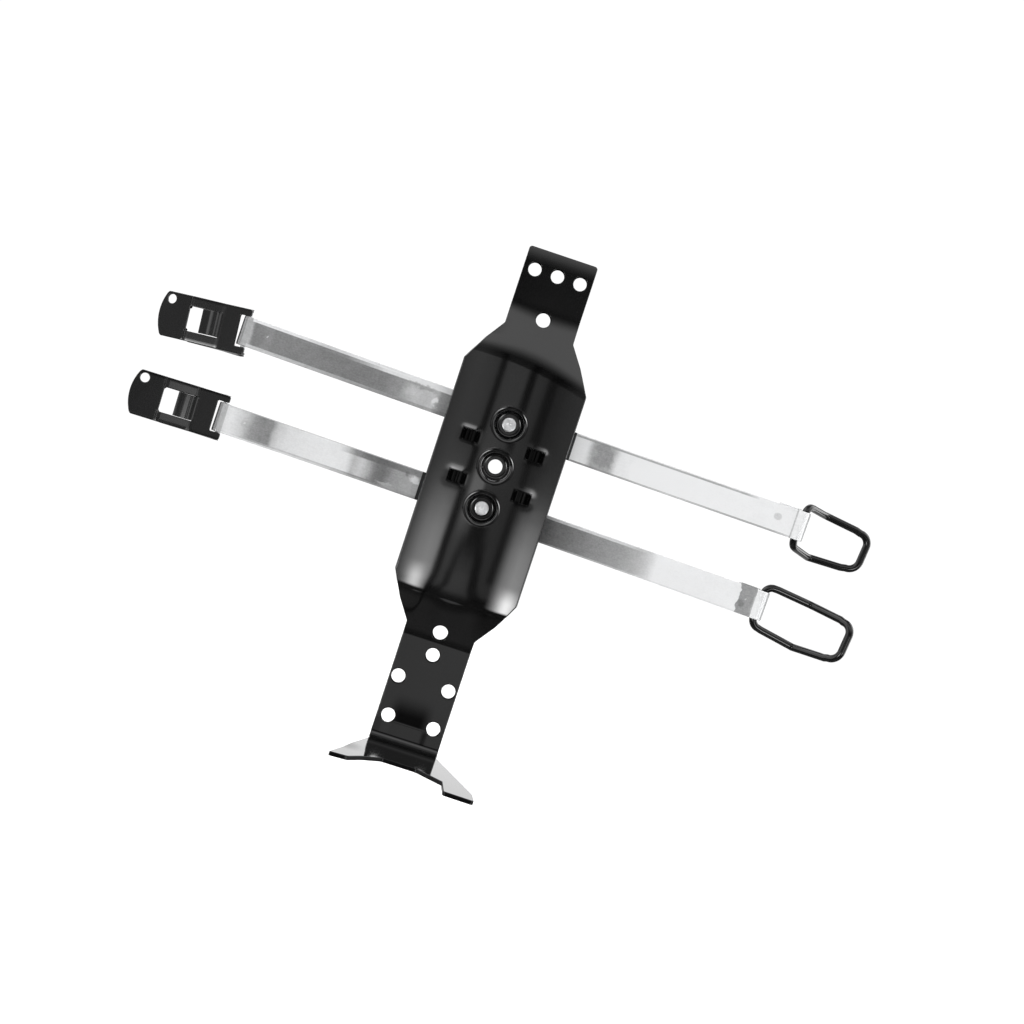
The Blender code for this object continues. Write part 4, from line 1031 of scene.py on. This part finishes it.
def build_bail(which):
    fall, _, lean_near, lean_far = BAIL_LIE[which]
    lean_near, lean_far = math.tan(math.radians(lean_near)), math.tan(math.radians(lean_far))
    a1, a2 = math.radians(fall), math.radians(fall + BAIL_KINK)
    bend = 3.0
    leg, reach = (19.8, 21.0) if which == "upper" else (BAIL_NEAR, 20.9)

    def at(s, v):
        s0 = leg - bend / 2
        if s <= s0:
            u, n = s * math.cos(a1), s * math.sin(a1)
        else:
            u, n = s0 * math.cos(a1), s0 * math.sin(a1)
            rest = s - s0
            for k in range(12):
                seg = min(rest, bend) / 12
                a = a1 + (a2 - a1) * (min(rest, bend) * (k + 0.5) / 12) / bend
                u += seg * math.cos(a)
                n += seg * math.sin(a)
            if rest > bend:
                u += (rest - bend) * math.cos(a2)
                n += (rest - bend) * math.sin(a2)
        side = lean_near * min(s, leg) + lean_far * max(0.0, s - leg)
        return Vector((u, -n, v - side))

    total = leg + reach

    def half_at(s):
        a, b, c = BAIL_HALF
        return a + (b - a) * s / leg if s < leg else b + (c - b) * (s - leg) / reach

    c, d = BAIL_CORNER
    flat = []
    for side in (1, -1):
        h0, h1 = half_at(0), half_at(total)
        ang = [90 * k / 12 for k in range(13)]
        near = [(c - c * math.cos(math.radians(t)), side * (h0 - c + c * math.sin(math.radians(t)))) for t in ang]
        mid = [(s, side * half_at(s)) for s in list(np.arange(5.0, 18.5, 1.5)) + list(np.arange(18.7, 22.6, 0.35)) + list(np.arange(23.5, total - d - 0.8, 1.5))]
        far = [(total - d + d * math.sin(math.radians(t)), side * (h1 - d + d * math.cos(math.radians(t)))) for t in ang]
        run = near + mid + far
        flat += run if side == 1 else list(reversed(run))
    pts = np.array([tuple(at(s, v)) for s, v in flat])
    n = len(pts)
    tang = unit(np.roll(pts, -1, 0) - np.roll(pts, 1, 0))
    # parallel frame along the closed wire
    up = np.zeros_like(pts)
    u0 = np.cross(tang[0], np.array([0.0, 0.0, 1.0]))
    if np.linalg.norm(u0) < 0.1:
        u0 = np.cross(tang[0], np.array([0.0, 1.0, 0.0]))
    up[0] = u0 / np.linalg.norm(u0)
    for i in range(1, n):
        w = up[i - 1] - tang[i] * np.dot(up[i - 1], tang[i])
        up[i] = w / np.linalg.norm(w)
    side_v = np.cross(tang, up)
    k = 20
    verts, norms = [], []
    for i in range(n):
        for j in range(k):
            t = 2 * math.pi * j / k
            nn = up[i] * math.cos(t) + side_v[i] * math.sin(t)
            verts.append(pts[i] + nn * WIRE_R)
            norms.append(nn)
    # the frame may arrive turned after one round: join with the nearest shift
    first = up[0]
    last = up[-1] - tang[0] * np.dot(up[-1], tang[0])
    last = last / np.linalg.norm(last)
    ang = math.atan2(np.dot(last, side_v[0]), np.dot(last, first))
    shift = int(round(ang / (2 * math.pi / k)))
    faces = []
    for i in range(n):
        for j in range(k):
            j2 = (j + 1) % k
            if i < n - 1:
                a, b, c2, d2 = i * k + j, i * k + j2, (i + 1) * k + j2, (i + 1) * k + j
            else:
                a, b, c2, d2 = i * k + j, i * k + j2, (j2 + shift) % k, (j + shift) % k
            faces.append((a, b, c2, d2))
    ob = merge(which + "_bail_wire", [moved((np.array(verts), faces, np.array(norms)), bail_frame(which))])
    paint = black_paint(which + "_bail_paint", rough=0.13, level=1.6)
    paint.node_tree.nodes["Principled BSDF"].inputs["Specular IOR Level"].default_value = 0.32
    ob.data.materials.append(paint)
    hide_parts(which + "_bail")
    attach(ob, which + "_loop")
    return ob


build_plate()
for which in ("upper", "lower"):
    build_band(which)
    build_rivet(which)
    build_lever(which)
    build_bail(which)


# ------------------------------------------------------------------ floor, light, camera
def plane(name, w, d, matrix, value, rough=0.8):
    me = bpy.data.meshes.new(name)
    me.from_pydata([(-w / 2, -d / 2, 0), (w / 2, -d / 2, 0), (w / 2, d / 2, 0), (-w / 2, d / 2, 0)], [], [(0, 1, 2, 3)])
    ob = bpy.data.objects.new(name, me)
    bpy.context.scene.collection.objects.link(ob)
    ob.matrix_world = matrix
    mat, nt, bsdf = nodes_of(name + "_matte")
    bsdf.inputs["Base Color"].default_value = (value, value, value, 1)
    bsdf.inputs["Roughness"].default_value = rough
    bsdf.inputs["Specular IOR Level"].default_value = 0.2
    ob.data.materials.append(mat)
    return ob


floor = plane("floor", 14.0, 14.0, Matrix.Translation((0, 0, -0.95)), 0.95)
floor.visible_glossy = False

BACK_LIGHT = 2.05
world = bpy.data.worlds.new("studio")
bpy.context.scene.world = world
world.use_nodes = True
wt = world.node_tree
g = Net(wt)
co = g.new("ShaderNodeTexCoord")
direction = co.outputs["Generated"]
sep = g.new("ShaderNodeSeparateXYZ")
wt.links.new(direction, sep.inputs[0])
dx, dy, dz = sep.outputs


DEG = 180.0 / math.pi
azim = g.math("MULTIPLY", g.math("ARCTAN2", dx, g.math("MULTIPLY", dy, -1.0)), DEG)
elev = g.math("MULTIPLY", g.math("ARCSINE", dz), DEG)


def steps(value, stops):
    """Straight lines between (degrees, radiance) stops."""
    lo, hi = stops[0][0], stops[-1][0]
    top = max(v for _, v in stops)
    pos = g.math("DIVIDE", g.math("SUBTRACT", value, lo), hi - lo)
    return g.math("MULTIPLY", g.ramp(pos, [((p - lo) / (hi - lo), v / top) for p, v in stops]), top)


def window(value, a, b, s0, s1):
    return g.math("MULTIPLY", g.remap(value, a - s0, a + s0, 0.0, 1.0, smooth=True),
                  g.remap(value, b - s1, b + s1, 1.0, 0.0, smooth=True))


def card(centre, width, depth, top=99.0, bottom=-99.0, soft=0.6):
    """A narrow dark flag: centre in azimuth (number or socket), half width, depth 0..1."""
    d = g.math("DIVIDE", g.math("SUBTRACT", azim, centre), width)
    d = g.math("MULTIPLY", d, d)
    fall = g.math("EXPONENT", g.math("MULTIPLY", g.math("MULTIPLY", d, d), -0.7))
    fall = g.math("MULTIPLY", fall, depth)
    if top < 99 or bottom > -99:
        fall = g.math("MULTIPLY", fall, window(elev, bottom, top, soft, soft))
    return g.math("SUBTRACT", 1.0, fall)


# soft wall of the room in front of the object, in the band of heights that the plate mirrors
wall = steps(azim, ((-90, 0.5), (-50, 0.42), (-40, 0.45), (-34, 0.62), (-27, 0.5), (-20, 0.34), (-14, 0.46), (-8, 0.56), (2, 0.80), (12, 0.80),
                    (20, 0.72), (30, 0.84), (35, 0.72), (40, 0.5), (90, 0.5)))
wall = g.math("MULTIPLY", wall, card(16.2, 1.9, 0.86))
wall = g.math("MULTIPLY", wall, card(-2.2, 2.4, 0.86, bottom=0.2))
wall = g.math("MULTIPLY", wall, card(-14.6, 3.0, 0.72, bottom=0.2))
wall = g.math("MULTIPLY", wall, card(-15.6, 2.2, 0.55, top=0.2, bottom=-7.0))
wall = g.math("MULTIPLY", wall, card(1.5, 6.0, 0.95, top=-2.0, bottom=-4.6, soft=0.5))
leg_l = steps(elev, ((-60, 12.5), (-14.0, 12.5), (-11.0, 9.0), (-5.2, 8.4), (-4.6, 7.2), (-3.8, 5.6), (30, 5.6)))
leg_r = steps(elev, ((-60, 9.6), (-14.0, 9.6), (-11.0, 7.0), (-5.4, 6.2), (-4.6, 5.0), (-3.8, 4.2), (30, 4.2)))
wall = g.math("MULTIPLY", wall, card(leg_l, 1.9, 0.72, top=-4.0, bottom=-15.0, soft=0.4))
wall = g.math("MULTIPLY", wall, card(g.math("MULTIPLY", leg_r, -1.0), 2.7, 0.84, top=-4.0, bottom=-15.0, soft=0.4))
height = steps(elev, ((-90, 0.5), (-66, 0.75), (-56, 0.36), (-46, 0.33), (-38, 0.24), (-30, 0.15), (-14.4, 0.13), (-12.6, 1.05), (-8, 1.05), (-2, 1.0), (4.3, 1.0),
                      (5.4, 0.2), (16, 0.12), (22, 0.0), (90, 0.0)))
ceiling = steps(elev, ((0, 0.0), (16, 0.0), (22, 0.35), (29, 1.05), (35, 1.65), (38, 1.75), (50, 1.8), (60, 0.9), (72, 0.6), (90, 0.6)))
middle = g.math("ADD", g.math("MULTIPLY", wall, height), ceiling)
side = g.remap(g.math("ABSOLUTE", azim), 18.0, 30.0, 0.0, 1.0, smooth=True)
lift = g.math("MULTIPLY", g.math("MULTIPLY", side, window(elev, 4.0, 22.0, 1.0, 4.0)), 0.22)
# a small bright panel near the left lever's mirror direction
panel = g.math("MULTIPLY", g.math("MULTIPLY", window(azim, 5.0, 12.5, 1.2, 1.2), window(elev, -2.9, -0.6, 0.4, 0.5)), 2.2)
# two low soft boxes, right and left of the camera: a dim upper part and a bright core
curtain = steps(elev, ((-60, 0.0), (-26, 0.0), (-18, 3.2), (-6.2, 4.6), (-3.6, 3.7), (-2.6, 2.2), (-1.5, 0.2), (0, 0.0), (30, 0.0)))
box_r = steps(azim, ((0, 0.0), (17.6, 0.0), (20.0, 0.9), (24, 1.0), (30, 0.74), (33, 0.45), (37, 0.12), (41, 0.0), (60, 0.0)))
box_l = steps(azim, ((-60, 0.0), (-40, 0.0), (-35.5, 0.3), (-31.5, 1.1), (-27, 1.25), (-22, 0.85), (-18.5, 0.2), (-16.5, 0.0), (0, 0.0)))
boxes = g.math("MULTIPLY", curtain, g.math("ADD", box_r, box_l))


def core(centre, width, power):
    d = g.math("DIVIDE", g.math("SUBTRACT", azim, centre), width)
    fall = g.math("EXPONENT", g.math("MULTIPLY", g.math("MULTIPLY", d, d), -1.0))
    tall = steps(elev, ((-60, 0.0), (-26, 0.0), (-19, 0.75), (-15.5, 1.0), (-12.2, 0.92), (-8.9, 0.42), (-6.4, 0.04), (-5.4, 0.0), (30, 0.0)))
    return g.math("MULTIPLY", g.math("MULTIPLY", fall, tall), power)


boxes = g.math("ADD", boxes, g.math("ADD", core(26.8, 4.3, 11.5), core(-28.3, 4.7, 19.0)))
boxes = g.math("ADD", boxes, panel)
# large side lights beyond the plate's mirror range
flank = g.math("ADD", g.math("MULTIPLY", window(azim, 58, 100, 6, 3), 1.4), g.math("MULTIPLY", window(azim, 100, 134, 3, 5), 2.8))
flank = g.math("ADD", flank, g.math("MULTIPLY", window(azim, -132, -58, 5, 6), 1.8))
flank = g.math("MULTIPLY", flank, window(elev, -18, 62, 6, 10))
front = g.math("ADD", g.math("ADD", middle, lift), g.math("ADD", boxes, flank))
behind = g.remap(g.math("ABSOLUTE", azim), 92.0, 128.0, 0.0, 1.0, smooth=True)
back = g.math("ADD", flank, g.math("MULTIPLY", g.math("MULTIPLY", g.remap(g.math("ABSOLUTE", azim), 146.0, 158.0, 0.0, 1.0, smooth=True),
                                                window(elev, 3.0, 70.0, 3.0, 10.0)), BACK_LIGHT))
back = g.math("ADD", back, steps(elev, ((-90, 0.25), (-50, 0.3), (-34, 0.55), (-6, 0.55), (4, 0.12), (90, 0.12))))
total = g.mix(behind, front, back)
bg = wt.nodes["Background"]
wt.links.new(g.grey(total), bg.inputs["Color"])
bg.inputs["Strength"].default_value = 1.0
white = g.new("ShaderNodeBackground")
white.inputs["Color"].default_value = (1, 1, 1, 1)
white.inputs["Strength"].default_value = 1.05
path = g.new("ShaderNodeLightPath")
both = g.new("ShaderNodeMixShader")
wt.links.new(path.outputs["Is Camera Ray"], both.inputs[0])
wt.links.new(bg.outputs[0], both.inputs[1])
wt.links.new(white.outputs[0], both.inputs[2])
wt.links.new(both.outputs[0], wt.nodes["World Output"].inputs["Surface"])

scene = bpy.context.scene
scene.view_settings.view_transform = "Standard"
scene.view_settings.look = "None"
scene.view_settings.exposure = 0.0
scene.view_settings.gamma = 1.0

# camera, solved from the photograph
az, el, roll = 0.0384, math.radians(-2.543), math.radians(18.268)
fwd = Vector((math.sin(az) * math.cos(el), math.cos(az) * math.cos(el), math.sin(el)))
right0 = Vector((math.cos(az), -math.sin(az), 0.0))
up0 = right0.cross(fwd)
right = right0 * math.cos(roll) + up0 * math.sin(roll)
up = -right0 * math.sin(roll) + up0 * math.cos(roll)
m = Matrix.Identity(4)
for i in range(3):
    m[i][0], m[i][1], m[i][2] = right[i], up[i], -fwd[i]
m.translation = Vector((-0.020, -0.5415, -0.0683))
cam_data = bpy.data.cameras.new("camera")
cam = bpy.data.objects.new("camera", cam_data)
scene.collection.objects.link(cam)
cam.matrix_world = m
cam_data.sensor_width = 36.0
cam_data.lens = 36.0 * 1305.446 / 1024.0
cam_data.shift_x = 30.045 / 1024.0
cam_data.clip_start = 0.01
cam_data.clip_end = 50.0
scene.camera = cam
